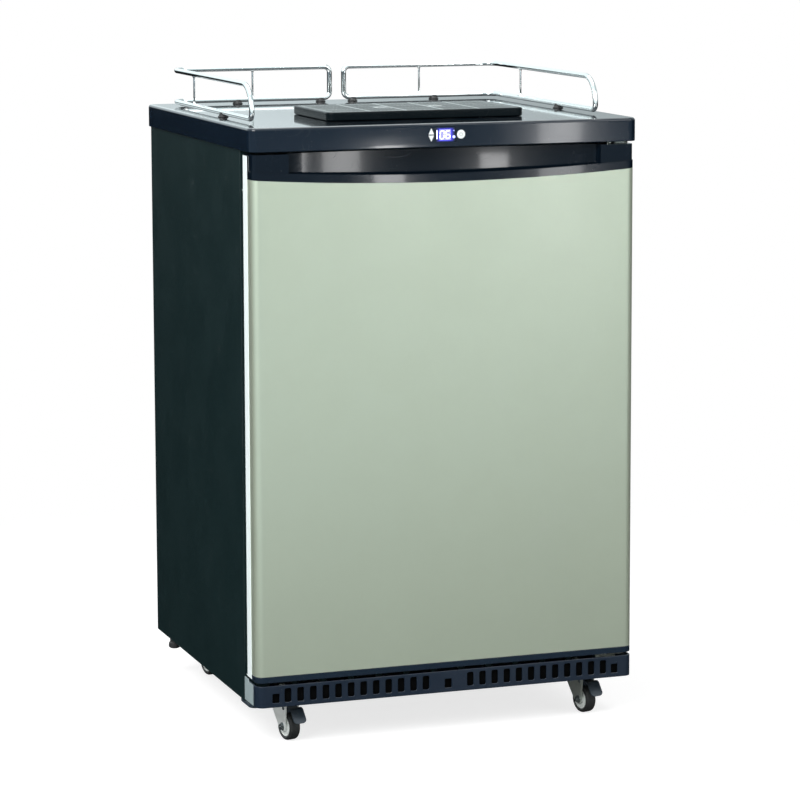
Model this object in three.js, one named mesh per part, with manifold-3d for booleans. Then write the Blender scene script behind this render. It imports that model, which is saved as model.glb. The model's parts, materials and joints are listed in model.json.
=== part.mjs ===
// A kegerator on casters: a cabinet with a keg cavity, a door with a pocket handle along its top edge,
// a worktop with a guard rail, drip tray and controls, and the cooling machinery behind the cavity.
// Millimetres, +Z up, front towards -Y. The origin is on the floor under the middle of the cabinet.
import * as THREE from "three";
import { mergeVertices } from "three/addons/utils/BufferGeometryUtils.js";
import Module from "manifold-3d";

const wasm = await Module();
wasm.setup();

// Driving sizes
const clearance = 0.3; // air between neighbouring pieces
const overrun = 3; // how far a cutter passes the faces that it cuts

const worktop = {
  depth: 566, skirt: 35, deck: 4, wall: 3.5, fit: 0.5, shelf: 2.5,
  frontRadius: 14, backRadius: 8, edgeRadius: 4,
};
const cabinet = {
  width: 596, sheet: 1.2, sideFlange: 18, headFlange: 40, sideDrop: 2.8, backSheet: 1,
};
const door = {
  height: 775, thickness: 47, headGap: 4, footGap: 5, cornerRadius: 12,
  sheet: 1, capEdge: 36, edgeDip: 11, lip: 12, trim: 9, spigot: 16, linerSheet: 2,
};
const handle = {
  endBlock: 55, setBack: 30, lipThickness: 8, pocketDepth: 20, capDepth: 62,
  creaseInset: 27, bow: 5, endRadius: 14,
};
const gasket = { thickness: 15.2, width: 13, sideInset: 13, endInset: 5 };
const dike = { inset: 48, rise: 22, width: 24, panDepth: 16, footGap: 10, headGap: 22 };
const cavity = { sideWall: 40, sheet: 2, back: 32, head: 50, floor: 32, step: 20, stepTop: 22 };
const compartment = { depth: 122, height: 189, sheet: 1 };
const basePan = { sheet: 1.5, flange: 14 };
const crossRail = { sheet: 1.5, flange: 20, vents: 12, ventWidth: 34, ventHeight: 14, endGap: 20.7 };
const duct = { height: 24 };
const grille = {
  height: 32.2, wall: 2.5, slots: 12, slotWidth: 10, slotHeight: 21.2, slotLift: 6.4, endInset: 47.4,
  slotRadius: 2.5, centreGap: 35.3, cornerSquare: 11, squareHeight: 14, squareInset: 29,
};
const controls = {
  lift: 17, windowX: -3.2, windowWidth: 31, windowHeight: 20, lip: 1, lipDepth: 1.2, keeper: 0.8,
  arrowX: -25.3, arrowWidth: 8.6, arrowHeight: 9, arrowGap: 1.6, powerX: 21, powerDiameter: 13,
  boardWidth: 92, boardHeight: 24, boardThickness: 1.6, boardInset: 11,
  switchSize: 5, switchHeight: 3.2, postWidth: 6,
};
const hinge = {
  plate: 3, edge: 16, setBack: 25, armWidth: 38, pinDiameter: 8, pinLength: 14, bushWall: 3,
  lowerRise: 31, upperRise: 27,
};
const rail = {
  diameter: 8, lowBar: 6.5, highBar: 56, sideInset: 27, frontSet: 90, backInset: 46,
  backRadius: 22, frontBend: 40, endBend: 9, centreGap: 16, baluster: 3, sideBaluster: 400,
  backBaluster: 130, footDiameter: 12, footSide: 150, footBack: 105,
};
const tray = {
  width: 310, depth: 177, height: 13, frontSet: 88, wall: 2.5, bottom: 2, chamfer: 12, edge: 2.5,
  ledge: 6, gridDepth: 2.5,
};
const grid = {
  panels: 5, rib: 4, slots: 7, slotWidth: 2.6, frame: 8, thickness: 2, drainSpread: 88,
  drainLength: 14, drainWidth: 9,
};
const tower = { setBack: 325, bore: 55, wall: 2.5, flange: 76, flangeHeight: 1.2, capHeight: 1.8, plug: 10 };
const caster = {
  height: 64.5, inset: 60.5, frontSet: 76, backInset: 66, wheelDiameter: 42, wheelWidth: 17, trail: 22,
  yaw: 12.5, stem: 10, stemLength: 14, raceDiameter: 36, race: 4, forkSheet: 2.2, forkGap: 1,
  axle: 6, hub: 15, tread: 5, sideDish: 2, boss: 16, capThickness: 1.6, legShare: 0.6,
};
const brake = {
  width: 20, sheet: 2, pivotSet: 4, pivotRise: 8, pin: 5, arm: 14, kneeRun: 14, drop: 17, footLength: 16,
  padLength: 8, padGap: 1, lug: 5,
};
const kegPlate = { sideGap: 8, rearGap: 10.6, thickness: 3, radius: 20, rim: 6, frontSet: 12 };
const evaporator = { width: 400, thickness: 4, lift: 48, headGap: 99, radius: 15 };
const compressor = {
  stemGap: 17.5, width: 150, depth: 104, height: 142, footWidth: 180, footDepth: 100, footSheet: 3,
  mount: 14, mountHeight: 8, shellEdge: 20, boxWidth: 16, boxHeight: 46, boxDepth: 44,
};
const drainPan = { width: 210, depth: 106, height: 22, wall: 2 };
const coil = {
  sideGap: 68, fanGap: 40, tube: 6, passes: 5, pitch: 26, rowGap: 52, plate: 1.5, plateMargin: 12, foot: 24,
};
const fan = {
  compressorGap: 40, size: 92, depth: 25, wall: 4, hub: 30, strut: 6, boss: 10, shaft: 4, blades: 5,
  blade: 2, tip: 1.5, pitch: 35,
};
const drier = { diameter: 18, length: 80, pipe: 6, neck: 14, lift: 30 };
const gland = { sideGap: 63, lift: 30, bore: 8, body: 14, flange: 22, flangeHeight: 2.4, length: 12 };
const louvre = { columns: 4, rows: 7, width: 90, height: 5, pitch: 15, columnPitch: 120, lift: 52 };

// Places worked out from the driving sizes
const frontY = -worktop.depth / 2;
const backY = worktop.depth / 2;
const doorBack = frontY + door.thickness;
const cabinetFront = doorBack + gasket.thickness + 2 * clearance;
const cabinetBack = backY - worktop.wall - worktop.fit;
const cabinetSide = cabinet.width / 2;
const worktopSide = cabinetSide + worktop.wall + worktop.fit;
const doorSide = cabinetSide;
const baseBottom = caster.height + clearance;
const baseTop = baseBottom + basePan.sheet;
const wrapBottom = baseBottom - cabinet.sideDrop;
const grilleTop = baseBottom + grille.height;
const doorBottom = grilleTop + door.footGap;
const doorTop = doorBottom + door.height;
const worktopBottom = doorTop + door.headGap;
const worktopTop = worktopBottom + worktop.skirt;
const cabinetTop = worktopTop - worktop.deck - clearance;
const innerSide = cabinetSide - cabinet.sheet - clearance;
const ductTop = baseTop + duct.height;
const cavityFloor = ductTop + compartment.sheet + cavity.floor + cavity.sheet + 2 * clearance;
const cavityHead = cabinetTop - cabinet.sheet - cavity.head - cavity.sheet - 2 * clearance;
const cavitySide = cabinetSide - cavity.sideWall;
const linerFlangeSide = cabinetSide - cabinet.sideFlange - clearance;
const backPanelFront = cabinetBack - cabinet.backSheet;
const cavityBack = backPanelFront - cavity.back - cavity.sheet - 2 * clearance;
const compartmentFront = backPanelFront - compartment.depth;
const compartmentTop = baseTop + compartment.height;
const stepFront = compartmentFront - compartment.sheet - cavity.step - cavity.sheet - 2 * clearance;
const stepTop = compartmentTop + compartment.sheet + cavity.stepTop + cavity.sheet + 2 * clearance;
const pinX = doorSide - hinge.edge;
const pinY = frontY + hinge.setBack;
const towerY = frontY + tower.setBack;
const compressorX = cabinetSide - caster.inset - caster.stem / 2 - compressor.stemGap
  - compressor.footWidth / 2;
const fanX = compressorX - compressor.footWidth / 2 - fan.compressorGap - fan.depth;
const glandX = gland.sideGap - cabinetSide;
const skinTop = doorTop - door.capEdge;
const deckSeat = worktopTop + clearance;

// Joining and cutting
function solid(geometry) {
  const bare = geometry.index ? geometry.toNonIndexed() : geometry.clone();
  bare.deleteAttribute("normal");
  bare.deleteAttribute("uv");
  const merged = mergeVertices(bare, clearance / 1000);
  return new wasm.Manifold(
    new wasm.Mesh({
      numProp: 3,
      vertProperties: merged.attributes.position.array,
      triVerts: new Uint32Array(merged.index.array),
    }),
  );
}

function geometryOf(manifold) {
  const mesh = manifold.getMesh();
  const geometry = new THREE.BufferGeometry();
  geometry.setAttribute("position", new THREE.BufferAttribute(mesh.vertProperties, 3));
  geometry.setIndex(new THREE.BufferAttribute(mesh.triVerts, 1));
  geometry.computeVertexNormals();
  return geometry;
}

const join = (pieces) => pieces.reduce((whole, piece) => whole.add(piece));
const cut = (body, cutters) => cutters.reduce((rest, cutter) => rest.subtract(cutter), body);

// Shapes as solids
function block([x0, x1], [y0, y1], [z0, z1]) {
  const geometry = new THREE.BoxGeometry(x1 - x0, y1 - y0, z1 - z0);
  return solid(geometry.translate((x0 + x1) / 2, (y0 + y1) / 2, (z0 + z1) / 2));
}

const span = (half) => [-half, half];
const around = (middle, width) => [middle - width / 2, middle + width / 2];

const outline = (points) => new THREE.Shape(points.map(([u, v]) => new THREE.Vector2(u, v)));

// An outline drawn in (x, y) and raised along Z, in (x, z) and pushed along Y, or in (y, z) along X
function prism(axis, [from, to], points) {
  const geometry = new THREE.ExtrudeGeometry(outline(points), { depth: to - from, bevelEnabled: false });
  if (axis === "z") geometry.translate(0, 0, from);
  if (axis === "y") geometry.rotateX(Math.PI / 2).translate(0, to, 0);
  if (axis === "x") geometry.rotateX(Math.PI / 2).rotateZ(Math.PI / 2).translate(from, 0, 0);
  return solid(geometry);
}

// A profile of (radius, height) points turned about Z
function turned(profile, segments) {
  const points = profile.map(([r, z]) => new THREE.Vector2(r, z));
  return solid(new THREE.LatheGeometry(points, segments).rotateX(Math.PI / 2));
}

function rod(radius, [from, to], segments) {
  return turned([[0, from], [radius, from], [radius, to], [0, to]], segments);
}

function ring(outer, inner, [from, to], segments) {
  return turned([[inner, from], [outer, from], [outer, to], [inner, to], [inner, from]], segments);
}

const moved = (manifold, x, y, z) => manifold.translate([x, y, z]);

// Corners of an outline
function arc([u, v], radius, startAngle, endAngle, steps) {
  return Array.from({ length: steps + 1 }, (_, i) => {
    const angle = startAngle + ((endAngle - startAngle) * i) / steps;
    return [u + radius * Math.cos(angle), v + radius * Math.sin(angle)];
  });
}

const circle = ([u, v], radius, steps) => arc([u, v], radius, 0, 2 * Math.PI, steps).slice(0, -1);

function roundedBox([u0, u1], [v0, v1], lowRadius, highRadius, steps) {
  const quarter = Math.PI / 2;
  const corner = (u, v, r, turn) =>
    (r > 0 ? arc([u, v], r, turn * quarter, (turn + 1) * quarter, steps) : [[u, v]]);
  return [
    ...corner(u0 + lowRadius, v0 + lowRadius, lowRadius, 2),
    ...corner(u1 - lowRadius, v0 + lowRadius, lowRadius, 3),
    ...corner(u1 - highRadius, v1 - highRadius, highRadius, 0),
    ...corner(u0 + highRadius, v1 - highRadius, highRadius, 1),
  ];
}

// A bent strip of even thickness along a line of points
function strip(line, thickness) {
  const side = (hand) => line.map(([u, v], i) => {
    const [a, b] = line[Math.max(i - 1, 0)];
    const [c, d] = line[Math.min(i + 1, line.length - 1)];
    const before = new THREE.Vector2(u - a, v - b).normalize();
    const after = new THREE.Vector2(c - u, d - v).normalize();
    const along = before.clone().add(after).normalize();
    const mitre = before.lengthSq() && after.lengthSq() ? along.dot(after) : 1;
    const reach = (hand * thickness) / 2 / mitre;
    return [u - along.y * reach, v + along.x * reach];
  });
  return [...side(1), ...side(-1).reverse()];
}

// Rings of equal point counts, one above the other, skinned and closed with flat ends
function lofted(rings) {
  const count = rings[0].length;
  const positions = rings.flat().flat();
  const faces = [];
  for (let level = 0; level + 1 < rings.length; level++) {
    for (let i = 0; i < count; i++) {
      const a = level * count + i;
      const b = level * count + ((i + 1) % count);
      faces.push(a, b, b + count, a, b + count, a + count);
    }
  }
  const cap = THREE.ShapeUtils.triangulateShape(rings[0].map(([x, y]) => new THREE.Vector2(x, y)), []);
  const top = (rings.length - 1) * count;
  for (const [a, b, c] of cap) faces.push(a, c, b, top + a, top + b, top + c);
  const geometry = new THREE.BufferGeometry();
  geometry.setAttribute("position", new THREE.BufferAttribute(new Float32Array(positions), 3));
  geometry.setIndex(faces);
  return solid(geometry);
}

// A route with one station for each point, so that bends get many rings and straights only two
class Route extends THREE.Curve {
  constructor(points) {
    super();
    this.points = points;
  }
  getPoint(t) {
    const place = t * (this.points.length - 1);
    const i = Math.min(Math.floor(place), this.points.length - 2);
    return this.points[i].clone().lerp(this.points[i + 1], place - i);
  }
  getPointAt(t) {
    return this.getPoint(t);
  }
  getTangentAt(t) {
    const i = Math.round(t * (this.points.length - 1));
    const before = this.points[Math.max(i - 1, 0)];
    const after = this.points[Math.min(i + 1, this.points.length - 1)];
    const here = this.points[i];
    const incoming = here.clone().sub(before).normalize();
    const outgoing = after.clone().sub(here).normalize();
    return incoming.add(outgoing).normalize();
  }
}

// Corner points with a bend radius each, as a list of stations
function bentRoute(corners, steps) {
  const stations = [];
  corners.forEach(([x, y, z, radius], i) => {
    const here = new THREE.Vector3(x, y, z);
    if (!radius) return stations.push(here);
    const toBefore = new THREE.Vector3(...corners[i - 1]).sub(here).normalize();
    const toAfter = new THREE.Vector3(...corners[i + 1]).sub(here).normalize();
    const half = toBefore.angleTo(toAfter) / 2;
    const reach = radius / Math.tan(half);
    const centre = here.clone().add(
      toBefore.clone().add(toAfter).normalize().multiplyScalar(radius / Math.sin(half)),
    );
    const start = here.clone().addScaledVector(toBefore, reach).sub(centre);
    const end = here.clone().addScaledVector(toAfter, reach).sub(centre);
    const sweep = start.angleTo(end);
    for (let k = 0; k <= steps; k++) {
      const share = k / steps;
      const ray = start.clone().multiplyScalar(Math.sin((1 - share) * sweep));
      ray.addScaledVector(end, Math.sin(share * sweep)).divideScalar(Math.sin(sweep));
      stations.push(centre.clone().add(ray));
    }
  });
  return stations;
}

function tube(stations, radius, sides) {
  const geometry = new THREE.ExtrudeGeometry(outline(circle([0, 0], radius, sides)), {
    steps: stations.length - 1,
    bevelEnabled: false,
    extrudePath: new Route(stations),
  });
  return solid(geometry);
}

// Materials
const finish = (color, roughness, metalness) => () =>
  new THREE.MeshStandardMaterial({ color, roughness, metalness });
const glossBlack = finish(0x141a1a, 0.18, 0);
const paintedBlack = finish(0x1c2626, 0.35, 0);
const doorSilver = finish(0xbcc4b4, 0.38, 0.6);
const chrome = finish(0xd8dcda, 0.12, 1);
const zinc = finish(0xa9b0a8, 0.35, 1);
const galvanised = finish(0x9aa09e, 0.5, 0.9);
const linerWhite = finish(0xe9ecea, 0.4, 0);
const foamYellow = finish(0xd9c27a, 0.9, 0);
const rubberBlack = finish(0x17191a, 0.8, 0);
const rubberGrey = finish(0x8f9696, 0.75, 0);
const blackAcrylic = finish(0x0a0d12, 0.08, 0);
const buttonWhite = finish(0xf2f5f2, 0.35, 0);
const boardGreen = finish(0x1f6b3c, 0.5, 0);
const copper = finish(0xb5713c, 0.3, 1);
const steel = finish(0xc4c8c4, 0.3, 1);
const nylon = finish(0xe4e2d8, 0.5, 0);
const enamelBlack = finish(0x101212, 0.3, 0.2);

const kegerator = new THREE.Group();

function add(name, manifold, material, parent = kegerator) {
  const mesh = new THREE.Mesh(geometryOf(manifold), material());
  mesh.name = name;
  parent.add(mesh);
  return mesh;
}

// The cavity's side view, grown outwards by a margin; its mouth runs past the cabinet front
function cavityProfile(grow, front) {
  return [
    [front, cavityFloor - grow],
    [stepFront + grow, cavityFloor - grow],
    [stepFront + grow, stepTop - grow],
    [cavityBack + grow, stepTop - grow],
    [cavityBack + grow, cavityHead + grow],
    [front, cavityHead + grow],
  ];
}

// Casing
function makeCabinetWrap() {
  const inner = cabinetSide - cabinet.sheet;
  const shell = cut(block(span(cabinetSide), [cabinetFront, cabinetBack], [wrapBottom, cabinetTop]), [
    block(span(inner), [cabinetFront - overrun, cabinetBack + overrun],
      [wrapBottom - overrun, cabinetTop - cabinet.sheet]),
  ]);
  const flanges = cut(
    block(span(inner + clearance), [cabinetFront, cabinetFront + cabinet.sheet],
      [wrapBottom, cabinetTop - cabinet.sheet + clearance]),
    [
      block(span(cabinetSide - cabinet.sideFlange), [cabinetFront - overrun, cabinetFront + overrun],
        [wrapBottom - overrun, cabinetTop - cabinet.headFlange]),
    ],
  );
  const hole = moved(rod(tower.bore / 2 + tower.wall + clearance, span(cabinet.headFlange), 24), 0, towerY,
    cabinetTop);
  add("cabinet_wrap", cut(join([shell, flanges]), [hole]), paintedBlack);
}

function makeInnerLiner() {
  const flangeHead = cabinetTop - cabinet.headFlange - clearance;
  const flangeFoot = cavityFloor - cavity.sheet;
  const outer = prism("x", span(cavitySide + cavity.sheet), cavityProfile(cavity.sheet, cabinetFront));
  const flange = block(span(linerFlangeSide), [cabinetFront, cabinetFront + cavity.sheet],
    [flangeFoot, flangeHead]);
  const inner = prism("x", span(cavitySide), cavityProfile(0, cabinetFront - overrun));
  const hole = moved(rod(tower.bore / 2 + tower.wall + clearance, span(overrun), 24), 0, towerY, cavityHead);
  add("inner_liner", cut(join([outer, flange]), [inner, hole]), linerWhite);
}

function makeInsulation() {
  const front = cabinetFront + cavity.sheet + clearance;
  const rear = backPanelFront - clearance;
  const foot = ductTop + compartment.sheet + clearance;
  const body = block(span(innerSide), [front, rear], [foot, cabinetTop - cabinet.sheet - clearance]);
  const grow = cavity.sheet + clearance;
  const hollow = prism("x", span(cavitySide + grow), cavityProfile(grow, front - overrun));
  const machinery = block(span(innerSide + overrun),
    [compartmentFront - compartment.sheet - clearance, rear + overrun],
    [foot - overrun, compartmentTop + compartment.sheet + clearance]);
  const hole = moved(rod(tower.bore / 2 + tower.wall + clearance, span(cavity.head), 24), 0, towerY,
    cabinetTop - cavity.head / 2);
  add("insulation_foam", cut(body, [hollow, machinery, hole]), foamYellow);
}

function makeBackPanel() {
  add("back_panel", block(span(innerSide), [backPanelFront, cabinetBack],
    [compartmentTop + compartment.sheet + clearance, cabinetTop - cabinet.sheet - clearance]), galvanised);
}

function makeUnderbodyPanel() {
  const front = cabinetFront + crossRail.sheet + clearance;
  const sheet = compartment.sheet;
  const profile = [
    [front, ductTop], [compartmentFront, ductTop], [compartmentFront, compartmentTop],
    [cabinetBack, compartmentTop], [cabinetBack, compartmentTop + sheet],
    [compartmentFront - sheet, compartmentTop + sheet], [compartmentFront - sheet, ductTop + sheet],
    [front, ductTop + sheet],
  ];
  add("underbody_panel", prism("x", span(innerSide), profile), galvanised);
}

function makeCompressorCover() {
  const foot = baseTop + clearance;
  const head = compartmentTop - clearance;
  const through = [backPanelFront - overrun, cabinetBack + overrun];
  const slots = [];
  for (let column = 0; column < louvre.columns; column++) {
    const x = (column - (louvre.columns - 1) / 2) * louvre.columnPitch;
    for (let row = 0; row < louvre.rows; row++) {
      const z = foot + louvre.lift + row * louvre.pitch;
      slots.push(block(around(x, louvre.width), through, around(z, louvre.height)));
    }
  }
  const glandHole = prism("y", through,
    circle([glandX, foot + gland.lift], gland.body / 2 + clearance, 20));
  const sheet = block(span(innerSide), [backPanelFront, cabinetBack], [foot, head]);
  add("compressor_cover", cut(sheet, [...slots, glandHole]), galvanised);
}

function makeCordGland() {
  const body = gland.body / 2;
  const profile = [
    [gland.bore / 2, -gland.length], [body, -gland.length], [body, clearance],
    [gland.flange / 2, clearance], [gland.flange / 2, clearance + gland.flangeHeight],
    [gland.bore / 2, clearance + gland.flangeHeight], [gland.bore / 2, -gland.length],
  ];
  const piece = turned(profile, 20).rotate([-90, 0, 0]);
  add("cord_gland", moved(piece, glandX, cabinetBack, baseTop + clearance + gland.lift), rubberBlack);
}

// Base
function casterPlaces() {
  const x = cabinetSide - caster.inset;
  return [
    ["front_left", -x, frontY + caster.frontSet],
    ["front_right", x, frontY + caster.frontSet],
    ["rear_left", -x, backY - caster.backInset],
    ["rear_right", x, backY - caster.backInset],
  ];
}

function stemHoles() {
  const height = [wrapBottom, baseTop + basePan.flange];
  return casterPlaces().map(([, x, y]) => moved(rod(caster.stem / 2 + clearance, height, 16), x, y, 0));
}

function makeBasePan() {
  const front = cabinetFront + crossRail.sheet + clearance;
  const rear = backPanelFront - clearance;
  const floor = block(span(innerSide), [front, rear], [baseBottom, baseTop]);
  const walls = [-1, 1].map((hand) =>
    block(around(hand * (innerSide - basePan.sheet / 2), basePan.sheet), [front, rear],
      [baseBottom, baseTop + basePan.flange]));
  add("base_pan", cut(join([floor, ...walls]), stemHoles()), galvanised);
}

function makeCrossRail() {
  const face = cabinetFront;
  const sheet = crossRail.sheet;
  const low = baseTop + clearance;
  const shelf = ductTop - clearance;
  const profile = [
    [face, baseBottom], [face + sheet, baseBottom], [face + sheet, low], [face + crossRail.flange, low],
    [face + crossRail.flange, low + sheet], [face + sheet, low + sheet], [face + sheet, shelf - sheet],
    [face + crossRail.flange, shelf - sheet], [face + crossRail.flange, shelf], [face + sheet, shelf],
    [face + sheet, cavityFloor - cavity.sheet - clearance],
    [face, cavityFloor - cavity.sheet - clearance],
  ];
  const bar = prism("x", span(linerFlangeSide), profile);
  const middle = (low + shelf) / 2;
  const firstVent = crossRail.endGap + crossRail.ventWidth / 2 - linerFlangeSide;
  const vents = Array.from({ length: crossRail.vents }, (_, i) => {
    const x = firstVent - (2 * firstVent * i) / (crossRail.vents - 1);
    return block(around(x, crossRail.ventWidth), [face - overrun, face + sheet + overrun],
      around(middle, crossRail.ventHeight));
  });
  add("front_cross_rail", cut(bar, [...vents, ...stemHoles()]), paintedBlack);
}

function makeBaseGrille() {
  const rear = cabinetFront - clearance;
  const plan = (inset) => roundedBox(span(doorSide - inset), [frontY + inset, rear + (inset ? overrun : 0)],
    door.cornerRadius - inset, 0, 5);
  const height = [baseBottom, grilleTop];
  const shell = cut(prism("z", height, plan(0)), [
    prism("z", [baseBottom - overrun, grilleTop + overrun], plan(grille.wall)),
  ]);
  const depth = [frontY - overrun, frontY + grille.wall + overrun];
  const slotZ = [baseBottom + grille.slotLift, baseBottom + grille.slotLift + grille.slotHeight];
  const slotAt = (x) =>
    prism("y", depth, roundedBox(around(x, grille.slotWidth), slotZ, grille.slotRadius,
      grille.slotRadius, 1));
  const slots = [];
  const pitch = (doorSide - grille.endInset - grille.centreGap) / (grille.slots - 1);
  for (let i = 0; i < grille.slots; i++) {
    const x = grille.centreGap + i * pitch;
    slots.push(slotAt(x), slotAt(-x));
  }
  const squareZ = [slotZ[0], slotZ[0] + grille.squareHeight];
  const squareX = doorSide - grille.squareInset;
  const squares = [-squareX, 0, squareX].map((x) =>
    block(around(x, grille.cornerSquare), depth, squareZ));
  add("base_grille", cut(shell, [...slots, ...squares]), glossBlack);
}

// Cooling machinery
function makeCompressor() {
  const half = compressor.depth / 2;
  const edge = compressor.shellEdge;
  const foot = baseTop + clearance;
  const low = foot + compressor.mountHeight;
  const profile = [
    [0, low], [half - edge, low], ...arc([half - edge, low + edge], edge, -Math.PI / 2, 0, 4),
    ...arc([half - edge, low + compressor.height - edge], edge, 0, Math.PI / 2, 4),
    [0, low + compressor.height],
  ];
  const middleY = (compartmentFront + backPanelFront) / 2;
  const shell = turned(profile, 20).scale([compressor.width / compressor.depth, 1, 1]);
  const feet = block(span(compressor.footWidth / 2), span(compressor.footDepth / 2),
    [low, low + compressor.footSheet]);
  const mountX = compressor.footWidth / 2 - compressor.mount;
  const mountY = compressor.footDepth / 2 - compressor.mount;
  const mounts = [[1, 1], [1, -1], [-1, 1], [-1, -1]].map(([u, v]) =>
    moved(rod(compressor.mount / 2, [foot, low + compressor.footSheet * 2], 12), u * mountX, v * mountY, 0));
  const boxX = compressor.width / 2;
  const relay = block([boxX - compressor.boxWidth, boxX + compressor.boxWidth],
    span(compressor.boxDepth / 2), around(low + compressor.height / 2, compressor.boxHeight));
  add("compressor", moved(join([shell, feet, relay, ...mounts]), compressorX, middleY, 0), enamelBlack);
}

function makeDrainPan() {
  const low = baseTop + compressor.mountHeight + compressor.height + 2 * clearance;
  const middleY = (compartmentFront + backPanelFront) / 2;
  const x = around(compressorX, drainPan.width);
  const y = around(middleY, drainPan.depth);
  const inner = drainPan.wall;
  const pan = cut(block(x, y, [low, low + drainPan.height]), [
    block([x[0] + inner, x[1] - inner], [y[0] + inner, y[1] - inner],
      [low + inner, low + drainPan.height + overrun]),
  ]);
  add("drain_pan", pan, nylon);
}

function coilPlace() {
  const foot = baseTop + clearance;
  const middleY = (compartmentFront + backPanelFront) / 2;
  const left = coil.sideGap - cabinetSide;
  return { left, right: fanX - coil.fanGap, foot, middleY, low: foot + coil.foot };
}

function makeCondenser() {
  const { left, right, foot, middleY, low } = coilPlace();
  const bend = coil.pitch / 2;
  const front = middleY - coil.rowGap / 2;
  const rear = middleY + coil.rowGap / 2;
  const corners = [];
  const pass = (y, level, leftwards, first, last) => {
    const z = low + level * coil.pitch;
    const ends = leftwards ? [right, left] : [left, right];
    corners.push([ends[0], y, z, first ? 0 : bend], [ends[1], y, z, last ? 0 : bend]);
  };
  for (let i = 0; i < coil.passes; i++) pass(front, i, i % 2 === 0, i === 0, false);
  for (let i = coil.passes - 1; i >= 0; i--) pass(rear, i, i % 2 === 1, false, i === 0);
  const serpentine = tube(bentRoute(corners, 3), coil.tube / 2, 6);
  const plateZ = [foot, low + (coil.passes - 1) * coil.pitch + coil.plateMargin];
  const plateY = [front - coil.plateMargin, rear + coil.plateMargin];
  const plates = [left + bend * 2, right - bend * 2].map((x) => block(around(x, coil.plate), plateY, plateZ));
  add("condenser_coil", join([serpentine, ...plates]), copper);
}

function makeDrier() {
  const { right, middleY, low } = coilPlace();
  const bend = coil.pitch / 2;
  const half = drier.diameter / 2;
  const x = right - bend * 2 + coil.plate / 2 + clearance + half;
  const z = low + drier.lift;
  const neck = drier.pipe / 2;
  const profile = [
    [0, z - drier.neck], [neck, z - drier.neck], [neck, z], [half, z + half],
    [half, z + drier.length - half], [neck, z + drier.length],
    [neck, z + drier.length + drier.neck], [0, z + drier.length + drier.neck],
  ];
  add("filter_drier", moved(turned(profile, 12), x, middleY, 0), copper);
}

function makeFan() {
  const { foot, middleY } = coilPlace();
  const half = fan.size / 2;
  const z = foot + half;
  const bore = half - fan.wall;
  const body = cut(block([0, fan.depth], span(half), span(half)), [
    rod(bore, [-overrun, fan.depth + overrun], 28).rotate([0, 90, 0]),
  ]);
  const strut = [fan.depth - fan.boss / 2, fan.depth];
  const struts = join([
    block(strut, span(half - fan.wall / 2), span(fan.strut / 2)),
    block(strut, span(fan.strut / 2), span(half - fan.wall / 2)),
  ]);
  const boss = rod(fan.hub / 2, [fan.depth - fan.boss, fan.depth], 16).rotate([0, 90, 0]);
  const shaft = rod(fan.shaft / 2, [fan.boss / 2, fan.depth - fan.boss / 2], 10).rotate([0, 90, 0]);
  add("condenser_fan_frame", moved(join([body, struts, boss, shaft]), fanX, middleY, z), enamelBlack);

  const hubEnd = fan.depth - fan.boss - clearance;
  const hub = cut(rod(fan.hub / 2, [fan.blade, hubEnd], 16), [
    rod(fan.shaft / 2 + clearance, [-overrun, fan.depth], 10),
  ]);
  const reach = bore - fan.tip;
  const chord = hubEnd - 2 * fan.blade;
  const blades = Array.from({ length: fan.blades }, (_, i) =>
    block(span(fan.blade / 2), [fan.hub / 2 - fan.blade, reach], span(chord / 2))
      .rotate([0, fan.pitch, 0]).translate([0, 0, (hubEnd + fan.blade) / 2])
      .rotate([0, 0, (i * 360) / fan.blades]));
  const rotor = cut(join([hub, ...blades]), [
    ring(half * 2, reach, [-overrun, fan.depth], 28),
  ]).rotate([0, 90, 0]);
  add("condenser_fan_rotor", moved(rotor, fanX, middleY, z), enamelBlack);
}

function makeEvaporator() {
  const height = [stepTop + evaporator.lift, cavityHead - evaporator.headGap];
  const face = roundedBox(span(evaporator.width / 2), height, evaporator.radius, evaporator.radius, 3);
  const rear = cavityBack - clearance;
  add("evaporator_plate", prism("y", [rear - evaporator.thickness, rear], face), steel);
}

function makeKegPlate() {
  const front = cabinetFront + kegPlate.frontSet;
  const rear = stepFront - kegPlate.rearGap;
  const low = cavityFloor + clearance;
  const plan = (inset) => roundedBox(span(cavitySide - kegPlate.sideGap - inset),
    [front + inset, rear - inset], kegPlate.radius - inset, kegPlate.radius - inset, 4);
  const plate = cut(prism("z", [low, low + kegPlate.rim], plan(0)), [
    prism("z", [low + kegPlate.thickness, low + kegPlate.rim + overrun], plan(kegPlate.thickness)),
  ]);
  add("keg_plate", plate, steel);
}

// Worktop
function worktopPlan(inset, z) {
  const x = span(worktopSide - inset);
  return [
    ...roundedBox(x, [frontY + inset, 0], worktop.frontRadius - inset, 0, 5).slice(0, -2),
    ...roundedBox(x, [0, backY - inset], 0, worktop.backRadius - inset, 5).slice(2),
  ].map(([u, v]) => [u, v, z]);
}

function arrowOutline(up, grow) {
  const z = worktopTop - controls.lift;
  const hand = up ? 1 : -1;
  const flank = Math.hypot(controls.arrowWidth / 2, controls.arrowHeight);
  const base = z + hand * (controls.arrowGap / 2 - grow);
  const rise = controls.arrowHeight + (2 * grow * flank) / controls.arrowWidth;
  const tip = z + hand * (controls.arrowGap / 2 + rise);
  const half = controls.arrowWidth / 2 + (grow * (flank + controls.arrowWidth / 2)) / controls.arrowHeight;
  const points = [[controls.arrowX - half, base], [controls.arrowX + half, base], [controls.arrowX, tip]];
  return up ? points : points.reverse();
}

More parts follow.
